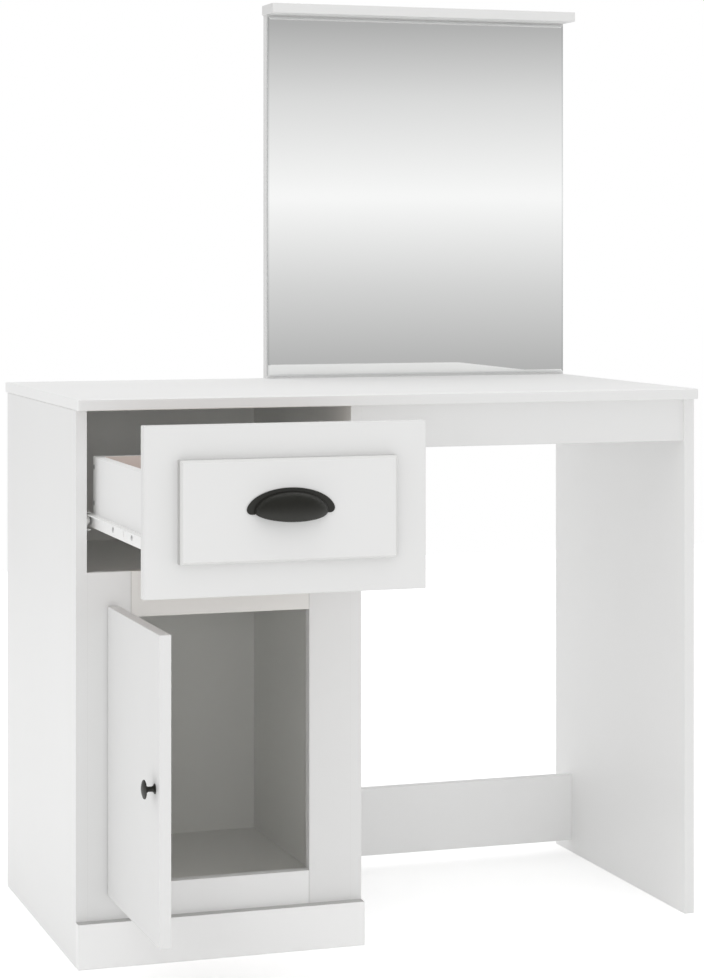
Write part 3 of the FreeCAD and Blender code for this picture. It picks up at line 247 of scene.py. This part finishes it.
def make_board_skin():
    # Foil-faced board: a cloudy tone, a fine pebble and an uneven sheen.
    group, entry, leave = new_group(
        "board_skin",
        [("Light", "NodeSocketColor"), ("Shade", "NodeSocketColor"), ("Pebble Scale", "NodeSocketFloat")],
        SKIN_OUTPUTS)
    place = put(group, "ShaderNodeTexCoord")
    cloud = fill(put(group, "ShaderNodeTexNoise"), Scale=5.0, Detail=3.0, Roughness=0.55)
    wire(group, place.outputs["Object"], cloud.inputs["Vector"])
    tone = blend_colour(group, cloud.outputs["Fac"], entry.outputs["Light"], entry.outputs["Shade"])
    wire(group, tone, leave.inputs["Color"])
    pebble = fill(put(group, "ShaderNodeTexNoise"), Detail=2.0, Roughness=0.5)
    wire(group, place.outputs["Object"], pebble.inputs["Vector"])
    wire(group, entry.outputs["Pebble Scale"], pebble.inputs["Scale"])
    wire(group, pebble.outputs["Fac"], leave.inputs["Height"])
    sheen = fill(put(group, "ShaderNodeTexNoise"), Scale=90.0, Detail=4.0, Roughness=0.6)
    wire(group, place.outputs["Object"], sheen.inputs["Vector"])
    wire(group, ranged(group, sheen.outputs["Fac"], *BOARD_SHEEN), leave.inputs["Roughness"])
    return group


def make_facing_mask():
    # One where a surface looks along the given direction, as closely as Least asks, else zero.
    group, entry, leave = new_group(
        "facing_mask", [("Direction", "NodeSocketVector"), ("Least", "NodeSocketFloat")],
        [("Mask", "NodeSocketFloat")])
    place = put(group, "ShaderNodeTexCoord")
    dot = put(group, "ShaderNodeVectorMath", operation="DOT_PRODUCT")
    wire(group, place.outputs["Normal"], dot.inputs[0])
    wire(group, entry.outputs["Direction"], dot.inputs[1])
    faces = math_node(group, "GREATER_THAN", dot.outputs["Value"], entry.outputs["Least"])
    wire(group, faces, leave.inputs["Mask"])
    return group


def make_edge_seam():
    # A line at the distance Band from the outline of a box, as where an edge band meets its board.
    group, entry, leave = new_group(
        "edge_seam",
        [("Low Corner", "NodeSocketVector"), ("High Corner", "NodeSocketVector"),
         ("Across", "NodeSocketVector"), ("Band", "NodeSocketFloat"), ("Width", "NodeSocketFloat")],
        [("Mask", "NodeSocketFloat")])
    place = put(group, "ShaderNodeTexCoord")
    from_low = put(group, "ShaderNodeVectorMath", operation="SUBTRACT")
    wire(group, place.outputs["Object"], from_low.inputs[0])
    wire(group, entry.outputs["Low Corner"], from_low.inputs[1])
    from_high = put(group, "ShaderNodeVectorMath", operation="SUBTRACT")
    wire(group, entry.outputs["High Corner"], from_high.inputs[0])
    wire(group, place.outputs["Object"], from_high.inputs[1])
    nearest = put(group, "ShaderNodeVectorMath", operation="MINIMUM")
    wire(group, from_low.outputs[0], nearest.inputs[0])
    wire(group, from_high.outputs[0], nearest.inputs[1])
    # The axes that Across names are pushed far away, so that only the others count.
    aside = put(group, "ShaderNodeVectorMath", operation="ADD")
    wire(group, nearest.outputs[0], aside.inputs[0])
    wire(group, entry.outputs["Across"], aside.inputs[1])
    split = put(group, "ShaderNodeSeparateXYZ")
    wire(group, aside.outputs[0], split.inputs[0])
    least = math_node(group, "MINIMUM", split.outputs[0], split.outputs[1])
    least = math_node(group, "MINIMUM", least, split.outputs[2])
    away = math_node(group, "SUBTRACT", least, entry.outputs["Band"])
    away = math_node(group, "ABSOLUTE", away, 0.0)
    wire(group, math_node(group, "LESS_THAN", away, entry.outputs["Width"]), leave.inputs["Mask"])
    return group


def make_powder_coat():
    # Baked powder: a fine orange-peel skin with a slightly uneven sheen.
    group, entry, leave = new_group(
        "powder_coat",
        [("Light", "NodeSocketColor"), ("Shade", "NodeSocketColor"), ("Sheen Low", "NodeSocketFloat"),
         ("Sheen High", "NodeSocketFloat")],
        SKIN_OUTPUTS)
    place = put(group, "ShaderNodeTexCoord")
    peel = fill(put(group, "ShaderNodeTexNoise"), Scale=1500.0, Detail=2.0, Roughness=0.4)
    wire(group, place.outputs["Object"], peel.inputs["Vector"])
    wire(group, peel.outputs["Fac"], leave.inputs["Height"])
    patch = fill(put(group, "ShaderNodeTexNoise"), Scale=160.0, Detail=3.0, Roughness=0.6)
    wire(group, place.outputs["Object"], patch.inputs["Vector"])
    tone = blend_colour(group, patch.outputs["Fac"], entry.outputs["Light"], entry.outputs["Shade"])
    wire(group, tone, leave.inputs["Color"])
    sheen = put(group, "ShaderNodeMapRange")
    wire(group, patch.outputs["Fac"], sheen.inputs["Value"])
    wire(group, entry.outputs["Sheen Low"], sheen.inputs["To Min"])
    wire(group, entry.outputs["Sheen High"], sheen.inputs["To Max"])
    wire(group, sheen.outputs["Result"], leave.inputs["Roughness"])
    return group


def make_fine_streaks():
    # Fine streaks along one direction, for plated or cast metal and for the grain of beech.
    group, entry, leave = new_group(
        "fine_streaks",
        [("Light", "NodeSocketColor"), ("Shade", "NodeSocketColor"), ("Stretch", "NodeSocketVector")],
        SKIN_OUTPUTS)
    place = put(group, "ShaderNodeTexCoord")
    stretch = put(group, "ShaderNodeVectorMath", operation="MULTIPLY")
    wire(group, place.outputs["Object"], stretch.inputs[0])
    wire(group, entry.outputs["Stretch"], stretch.inputs[1])
    streak = fill(put(group, "ShaderNodeTexNoise"), Scale=1.0, Detail=4.0, Roughness=0.65)
    wire(group, stretch.outputs[0], streak.inputs["Vector"])
    tone = blend_colour(group, streak.outputs["Fac"], entry.outputs["Light"], entry.outputs["Shade"])
    wire(group, tone, leave.inputs["Color"])
    wire(group, ranged(group, streak.outputs["Fac"], *METAL_SHEEN), leave.inputs["Roughness"])
    wire(group, streak.outputs["Fac"], leave.inputs["Height"])
    return group


board_skin = make_board_skin()
facing_mask = make_facing_mask()
edge_seam = make_edge_seam()
powder_coat = make_powder_coat()
fine_streaks = make_fine_streaks()


# Materials

def new_material(name):
    material = bpy.data.materials.new(name)
    material.use_nodes = True
    tree = material.node_tree
    tree.nodes.clear()
    shader = put(tree, "ShaderNodeBsdfPrincipled")
    output = put(tree, "ShaderNodeOutputMaterial")
    wire(tree, shader.outputs["BSDF"], output.inputs["Surface"])
    return material, tree, shader


def use_group(tree, group, **sockets):
    node = put(tree, "ShaderNodeGroup", node_tree=group)
    return fill(node, **sockets)


def raise_bump(tree, shader, height, strength, distance):
    bump = fill(put(tree, "ShaderNodeBump"), Strength=strength, Distance=distance)
    wire(tree, height, bump.inputs["Height"])
    wire(tree, bump.outputs["Normal"], shader.inputs["Normal"])


def thin_axis(low, high):
    spans = [high[i] - low[i] for i in range(3)]
    return spans.index(min(spans))


def draw_seam(tree, colour, share, **line):
    # A fine line of the seam's shade over a colour.
    seam = use_group(tree, edge_seam, **line)
    seam_share = math_node(tree, "MULTIPLY", seam.outputs["Mask"], share)
    return blend_colour(tree, seam_share, colour, SEAM_SHADE)


def board_material(node, faces, tones, pebble, joint):
    # One board: its skin, its edge-band seam and other tones on the faces that look along a direction; on
    # most boards these tones are painted light or painted shade.
    material, tree, shader = new_material("board_" + node)
    low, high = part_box(node)
    aside = [0.0, 0.0, 0.0]
    aside[thin_axis(low, high)] = 1.0
    skin = use_group(tree, board_skin, Light=tones[0], Shade=tones[1], Pebble_Scale=pebble)
    colour = skin.outputs["Color"]
    for direction, least, face_tones in faces:
        other = use_group(tree, board_skin, Light=face_tones[0], Shade=face_tones[1], Pebble_Scale=pebble)
        facing = use_group(tree, facing_mask, Direction=direction, Least=least)
        colour = blend_colour(tree, facing.outputs["Mask"], colour, other.outputs["Color"])
    colour = draw_seam(tree, colour, SEAM_SHARE, Low_Corner=low, High_Corner=high, Across=aside,
                       Band=EDGE_BAND, Width=SEAM_WIDTH)
    if joint:
        # The fine line where the ends of a rail meet the stiles.
        colour = draw_seam(tree, colour, JOINT_SHARE, Low_Corner=low, High_Corner=high,
                           Across=(0.0, 1.0, 1.0), Band=0.0, Width=JOINT_WIDTH)
    wire(tree, colour, shader.inputs["Base Color"])
    wire(tree, skin.outputs["Roughness"], shader.inputs["Roughness"])
    raise_bump(tree, shader, skin.outputs["Height"], *BOARD_BUMP)
    return material


def coated_material(name, tones, sheen, gloss=PLAIN_GLOSS):
    material, tree, shader = new_material(name)
    shader.inputs["Specular IOR Level"].default_value = gloss
    coat = use_group(tree, powder_coat, Light=tones[0], Shade=tones[1], Sheen_Low=sheen[0],
                     Sheen_High=sheen[1])
    wire(tree, coat.outputs["Color"], shader.inputs["Base Color"])
    wire(tree, coat.outputs["Roughness"], shader.inputs["Roughness"])
    raise_bump(tree, shader, coat.outputs["Height"], *COAT_BUMP)
    return material


def metal_material(name, tones, stretch):
    material, tree, shader = new_material(name)
    streaks = use_group(tree, fine_streaks, Light=tones[0], Shade=tones[1], Stretch=stretch)
    shader.inputs["Metallic"].default_value = 1.0
    wire(tree, streaks.outputs["Color"], shader.inputs["Base Color"])
    wire(tree, streaks.outputs["Roughness"], shader.inputs["Roughness"])
    raise_bump(tree, shader, streaks.outputs["Height"], *METAL_BUMP)
    return material


def mirror_material():
    # Silvered glass: a clean silver face with a duller tone on the ground rim.
    material, tree, shader = new_material("mirror_silver")
    low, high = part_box("mirror_glass")
    rim = use_group(tree, edge_seam, Low_Corner=low, High_Corner=high, Across=(0.0, 1.0, 0.0), Band=0.0,
                    Width=GLASS_BEVEL)
    colour = blend_colour(tree, rim.outputs["Mask"], SILVER, GLASS_RIM)
    wire(tree, colour, shader.inputs["Base Color"])
    shader.inputs["Metallic"].default_value = 1.0
    place = put(tree, "ShaderNodeTexCoord")
    haze = fill(put(tree, "ShaderNodeTexNoise"), Scale=14.0, Detail=3.0, Roughness=0.6)
    wire(tree, place.outputs["Object"], haze.inputs["Vector"])
    wire(tree, ranged(tree, haze.outputs["Fac"], *GLASS_SHEEN), shader.inputs["Roughness"])
    return material


def dowel_material():
    material, tree, shader = new_material("beech_dowel")
    streaks = use_group(tree, fine_streaks, Light=BEECH[0], Shade=BEECH[1], Stretch=BEECH_STREAKS)
    wire(tree, streaks.outputs["Color"], shader.inputs["Base Color"])
    wire(tree, ranged(tree, streaks.outputs["Height"], *BEECH_SHEEN), shader.inputs["Roughness"])
    raise_bump(tree, shader, streaks.outputs["Height"], *BEECH_BUMP)
    return material


def dress(material, *nodes):
    for node in nodes:
        piece = frame["nodes"][node]
        piece.data.materials.clear()
        piece.data.materials.append(material)


def dress_board(node, tones, *faces, pebble=FOIL_PEBBLE, joint=False):
    dress(board_material(node, faces, tones, pebble, joint), node)


# Boards take WHITE or copies of it made lighter or darker by board and by face: painted light and painted
# shade
dress_board("stretcher", LIT_WHITE)
for node in ("left_stile", "right_stile", "drawer_front", "door_panel", "apron"):
    dress_board(node, SHADED_WHITE)
for node in ("mirror_backboard", "mirror_crown"):
    dress_board(node, SHADED_MIRROR_TONE)
dress_board("middle_rail", SHADED_RAIL_TONE, joint=True)
dress_board("bottom_rail", WHITE, joint=True)
dress_board("tabletop", LIT_WHITE, (TO_FRONT, FACE_ON, SHADED_WHITE))
# The plinth: a lighter face as painted light, a grey top edge as painted shade
dress_board("plinth_board", LIT_WHITE, (TO_TOP, FACE_ON, SHADED_PLINTH_EDGE))
dress_board("right_leg_panel", SHADED_WHITE, (TO_LEFT, FACE_ON, LIT_WHITE))
# The raised panel: grey sides and bevel as painted shade around it, white front
dress_board("drawer_raised_panel", SHADED_RAISED_SIDES, (TO_FRONT, FACE_ON, SHADED_RAISED_BEVEL),
            (TO_FRONT, FLAT_ON, SHADED_WHITE))
# Cabinet boards: lighter inner faces as painted light inside the cabinet, darker front edges as painted shade
dress_board("left_side_panel", SIDE_LIT_WHITE, (TO_RIGHT, FACE_ON, LIT_INSIDE_TONE), (TO_FRONT, FACE_ON, SHADED_WHITE))
dress_board("cabinet_right_panel", SHADED_WHITE, (TO_LEFT, FACE_ON, LIT_INSIDE_TONE))
for node in ("cabinet_bottom_panel", "cabinet_divider"):
    dress_board(node, LIT_INSIDE_TONE)
dress_board("cabinet_back_panel", HARDBOARD, (TO_FRONT, FACE_ON, LIT_INSIDE_TONE), pebble=HARDBOARD_PEBBLE)
for node, inward in (("drawer_left_side", TO_RIGHT), ("drawer_right_side", TO_LEFT),
                     ("drawer_back", TO_FRONT)):
    dress_board(node, WHITE, (inward, FACE_ON, DRAWER_INSIDE))
dress_board("drawer_bottom", DRAWER_INSIDE, pebble=HARDBOARD_PEBBLE)

dress(mirror_material(), "mirror_glass")

dress(coated_material("white_powder", COATED_WHITE, WHITE_COAT_SHEEN),
      "left_cabinet_slide", "right_cabinet_slide", "left_drawer_slide", "right_drawer_slide")
dress(coated_material("roller_nylon", NYLON, NYLON_SHEEN),
      "front_left_roller", "front_right_roller", "rear_left_roller", "rear_right_roller")
dress(coated_material("black_powder", COATED_BLACK, BLACK_COAT_SHEEN, BLACK_COAT_GLOSS),
      "cup_handle", "door_knob")

plated_steel = metal_material("plated_steel", STEEL, STEEL_STREAKS)
dress(plated_steel, "lower_hinge_frame_leaf", "upper_hinge_frame_leaf", "lower_hinge_door_leaf",
      "upper_hinge_door_leaf", "hinge_pins", "cam_bolts", "back_panel_nails", *SCREW_SIZES, *SUNK_SCREWS)
cast_zinc = metal_material("cast_zinc", ZINC, ZINC_STREAKS)
dress(cast_zinc, "cam_discs")
dress(dowel_material(), "tabletop_dowels", "frame_dowels", "plinth_dowels", "crown_dowels", "drawer_dowels")


# Screws and cams with a driver's cross in the head

def separate_solids(node):
    # The corner points of each solid in a shared node, read from a merged copy of its mesh.
    shape = bmesh.new()
    shape.from_mesh(frame["nodes"][node].data)
    bmesh.ops.remove_doubles(shape, verts=shape.verts, dist=1e-6)
    waiting = set(shape.verts)
    groups = []
    while waiting:
        reached = [waiting.pop()]
        points = []
        while reached:
            corner = reached.pop()
            points.append(corner.co.copy())
            for edge in corner.link_edges:
                other = edge.other_vert(corner)
                if other in waiting:
                    waiting.remove(other)
                    reached.append(other)
        groups.append(points)
    shape.free()
    groups.sort(key=lambda points: tuple(round(sum(p[i] for p in points) / len(points), 4) for i in range(3)))
    return groups


def span(points):
    low = Vector([min(p[i] for p in points) for i in range(3)])
    high = Vector([max(p[i] for p in points) for i in range(3)])
    return low, high


def screw_place(points):
    # Middle of the head's top, the direction to the tip, and the length.
    low, high = span(points)
    sides = high - low
    axis = list(sides).index(max(sides))
    middle = (low + high) / 2.0

    def widest(end):
        near_end = [p for p in points if abs(p[axis] - end) < HEAD_END * sides[axis]]
        return max((p - middle).length_squared - (p[axis] - middle[axis]) ** 2 for p in near_end)

    inward = Vector((0.0, 0.0, 0.0))
    inward[axis] = 1.0 if widest(low[axis]) > widest(high[axis]) else -1.0
    head = middle - inward * (sides[axis] / 2.0)
    return head, inward, sides[axis]


def cam_place(points):
    # Cams sit in the underside of level boards and in the back of upright ones.
    low, high = span(points)
    sides = high - low
    axis = list(sides).index(min(sides))
    middle = (low + high) / 2.0
    inward = Vector((0.0, 0.0, 0.0))
    inward[axis] = 1.0 if axis == 2 else -1.0
    return middle - inward * (sides[axis] / 2.0), inward, sides[axis]


def turned_with_cross(profile, cross, depth):
    # A turned body whose top, at height zero, holds a sunk cross. Its tip points along +Z.
    shape = bmesh.new()
    points = [shape.verts.new((radius, 0.0, along)) for radius, along in profile]
    edges = [shape.edges.new(pair) for pair in zip(points, points[1:])]
    bmesh.ops.spin(shape, geom=points + edges, cent=(0.0, 0.0, 0.0), axis=(0.0, 0.0, 1.0),
                   dvec=(0.0, 0.0, 0.0), angle=2.0 * math.pi, steps=TURN_STEPS, use_merge=True,
                   use_duplicate=False)
    bmesh.ops.remove_doubles(shape, verts=shape.verts, dist=1e-7)
    rim = [edge for edge in shape.edges if edge.is_boundary]
    # The cross is a grid of three by three fields without its corners.
    grid = bmesh.ops.create_grid(shape, x_segments=3, y_segments=3, size=cross)
    fields = {face for corner in grid["verts"] for face in corner.link_faces}
    corners = [face for face in fields
               if min(abs(v) for v in face.calc_center_median()[:2]) > cross * 0.5]
    bmesh.ops.delete(shape, geom=corners, context="FACES")
    fields = [face for face in fields if face.is_valid]
    outline = [edge for face in fields for edge in face.edges if edge.is_boundary]
    bmesh.ops.bridge_loops(shape, edges=rim + outline)
    sunk = bmesh.ops.extrude_face_region(shape, geom=fields)
    floor = [part for part in sunk["geom"] if isinstance(part, bmesh.types.BMVert)]
    bmesh.ops.scale(shape, vec=(CROSS_TAPER, CROSS_TAPER, 1.0), verts=floor)
    bmesh.ops.translate(shape, vec=(0.0, 0.0, depth), verts=floor)
    bmesh.ops.delete(shape, geom=[face for face in fields if face.is_valid], context="FACES")
    bmesh.ops.recalc_face_normals(shape, faces=shape.faces)
    return shape


def threaded(shank, start, length):
    # Ridges along the shank and a point at its end.
    outline = [(shank * RIDGE_CORE, start)]
    run = length - start - POINT_LENGTH * shank
    for ridge in range(RIDGES):
        outline.append((shank, start + run * (ridge + 0.5) / RIDGES))
        outline.append((shank * RIDGE_CORE, start + run * (ridge + 1.0) / RIDGES))
    outline.append((shank * POINT_RADIUS, length))
    outline.append((0.0, length))
    return outline


def pan_head(head, height, shank, length):
    outline = [(head * 0.62, 0.0), (head * 0.8, height * 0.14), (head * 0.94, height * 0.46),
               (head, height * 0.84), (head * 0.98, height)]
    return turned_with_cross(outline + threaded(shank, height, length), head * 0.5,
                             height * SCREW_CROSS_DEPTH)


def sunk_head(head, height, shank, length):
    outline = [(head * 0.66, 0.0), (head, 0.0), (shank * 0.9, height)]
    return turned_with_cross(outline + threaded(shank, height, length), head * 0.52,
                             height * SCREW_CROSS_DEPTH)


def cam_body(radius, length):
    outline = [(radius * 0.62, 0.0), (radius * 0.93, 0.0), (radius, radius * 0.07), (radius, length),
               (0.0, length)]
    return turned_with_cross(outline, radius * 0.5, length * CAM_CROSS_DEPTH)


def carrier(node):
    # The moving body that a node belongs to.
    for body, members in frame["record"]["behaviour"]["bodies"].items():
        if node in members:
            return body
    raise ValueError("no body holds " + node)


def set_fasteners(node, make, place, material):
    # One piece that stands for all the solids of a fastener node.
    joined = bmesh.new()
    for number, points in enumerate(separate_solids(node)):
        head, inward, length = place(points)
        one = make(length)
        spin = Matrix.Rotation(TURN_PER_FASTENER * number, 4, "Z")
        turn = inward.to_track_quat("Z", "Y").to_matrix().to_4x4() @ spin
        bmesh.ops.transform(one, matrix=Matrix.Translation(head) @ turn, verts=one.verts)
        loose = bpy.data.meshes.new("one_fastener")
        one.to_mesh(loose)
        one.free()
        joined.from_mesh(loose)
        bpy.data.meshes.remove(loose)
    for face in joined.faces:
        face.smooth = True
    mesh = bpy.data.meshes.new(node + "_cross")
    joined.to_mesh(mesh)
    joined.free()
    mesh.set_sharp_from_angle(angle=SHARP_ANGLE)
    mesh.materials.append(material)
    piece = bpy.data.objects.new(node + "_cross", mesh)
    bpy.context.scene.collection.objects.link(piece)
    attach(piece, carrier(node))
    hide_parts(node)


for node, (head, height, shank) in SCREW_SIZES.items():
    set_fasteners(node, lambda length: pan_head(head, height, shank, length), screw_place, plated_steel)
for node in SUNK_SCREWS:
    set_fasteners(node, lambda length: sunk_head(SUNK_HEAD, SUNK_DEPTH, SUNK_SHANK, length), screw_place,
                  plated_steel)
set_fasteners("cam_discs", lambda length: cam_body(CAM_RADIUS, length), cam_place, cast_zinc)


# Stage, light and camera

def grey(tone):
    return (tone, tone, tone, 1.0)


def stage_floor():
    # Pale paper that glows a little for the eye and for mirrors, and keeps the object's shadow.
    shape = bmesh.new()
    bmesh.ops.create_grid(shape, x_segments=1, y_segments=1, size=FLOOR_HALF)
    mesh = bpy.data.meshes.new("studio_floor")
    shape.to_mesh(mesh)
    shape.free()
    floor = bpy.data.objects.new("studio_floor", mesh)
    bpy.context.scene.collection.objects.link(floor)
    material = bpy.data.materials.new("floor_paper")
    material.use_nodes = True
    tree = material.node_tree
    tree.nodes.clear()
    paper = put(tree, "ShaderNodeBsdfDiffuse")
    place = put(tree, "ShaderNodeTexCoord")
    grain = fill(put(tree, "ShaderNodeTexNoise"), Scale=3.0, Detail=2.0)
    wire(tree, place.outputs["Object"], grain.inputs["Vector"])
    tone = blend_colour(tree, grain.outputs["Fac"], grey(FLOOR_TONE), grey(FLOOR_TONE * FLOOR_GRAIN))
    wire(tree, tone, paper.inputs["Color"])
    path = put(tree, "ShaderNodeLightPath")
    seen = math_node(tree, "MAXIMUM", path.outputs["Is Camera Ray"], path.outputs["Is Glossy Ray"])
    seen = math_node(tree, "MAXIMUM", seen, path.outputs["Is Transmission Ray"])
    glow = put(tree, "ShaderNodeEmission")
    wire(tree, math_node(tree, "MULTIPLY", seen, FLOOR_GLOW), glow.inputs["Strength"])
    both = put(tree, "ShaderNodeAddShader")
    wire(tree, paper.outputs[0], both.inputs[0])
    wire(tree, glow.outputs[0], both.inputs[1])
    output = put(tree, "ShaderNodeOutputMaterial")
    wire(tree, both.outputs[0], output.inputs["Surface"])
    mesh.materials.append(material)


def studio_world():
    # White for the eye, an even glow for the light, and for mirrors a studio wall
    # with one bright band at eye height under a dim ceiling.
    world = bpy.data.worlds.new("studio_world")
    bpy.context.scene.world = world
    world.use_nodes = True
    tree = world.node_tree
    tree.nodes.clear()
    path = put(tree, "ShaderNodeLightPath")
    place = put(tree, "ShaderNodeTexCoord")
    split = put(tree, "ShaderNodeSeparateXYZ")
    wire(tree, place.outputs["Generated"], split.inputs[0])
    rise = fill(put(tree, "ShaderNodeMapRange"), From_Min=WALL_LOW, From_Max=WALL_HIGH)
    wire(tree, split.outputs["Z"], rise.inputs["Value"])
    band = put(tree, "ShaderNodeValToRGB")
    ramp = band.color_ramp
    while len(ramp.elements) < len(WALL_TONES):
        ramp.elements.new(0.5)
    for element, (share, tone) in zip(ramp.elements, WALL_TONES):
        element.position = share
        element.color = grey(tone)
    wire(tree, rise.outputs["Result"], band.inputs["Fac"])
    wall = put(tree, "ShaderNodeBackground")
    wire(tree, band.outputs["Color"], wall.inputs["Color"])
    even = fill(put(tree, "ShaderNodeBackground"), Color=grey(1.0), Strength=AMBIENT)
    white = fill(put(tree, "ShaderNodeBackground"), Color=grey(1.0))
    lit = put(tree, "ShaderNodeMixShader")
    wire(tree, path.outputs["Is Glossy Ray"], lit.inputs[0])
    wire(tree, even.outputs[0], lit.inputs[1])
    wire(tree, wall.outputs[0], lit.inputs[2])
    seen = math_node(tree, "MAXIMUM", path.outputs["Is Camera Ray"], path.outputs["Is Transmission Ray"])
    shown = put(tree, "ShaderNodeMixShader")
    wire(tree, seen, shown.inputs[0])
    wire(tree, lit.outputs[0], shown.inputs[1])
    wire(tree, white.outputs[0], shown.inputs[2])
    output = put(tree, "ShaderNodeOutputWorld")
    wire(tree, shown.outputs[0], output.inputs["Surface"])


def soft_lamp(name, place, width, power):
    light = bpy.data.lights.new(name, "AREA")
    light.shape = "DISK"
    light.size = width
    light.energy = power
    lamp = bpy.data.objects.new(name, light)
    bpy.context.scene.collection.objects.link(lamp)
    lamp.location = place
    look = Vector(LAMP_TARGET) - Vector(place)
    lamp.rotation_euler = look.to_track_quat("-Z", "Y").to_euler()
    lamp.visible_glossy = False


def photo_camera():
    lens = bpy.data.cameras.new("photo_camera")
    lens.lens = CAMERA_LENS
    lens.sensor_width = CAMERA_SENSOR
    lens.shift_y = CAMERA_SHIFT_DOWN
    camera = bpy.data.objects.new("photo_camera", lens)
    bpy.context.scene.collection.objects.link(camera)
    camera.location = CAMERA_PLACE
    camera.rotation_euler = (math.radians(90.0), 0.0, CAMERA_TURN)
    bpy.context.scene.camera = camera


stage_floor()
studio_world()
for lamp in LAMPS:
    soft_lamp(*lamp)
photo_camera()
bpy.context.scene.view_settings.view_transform = "Standard"
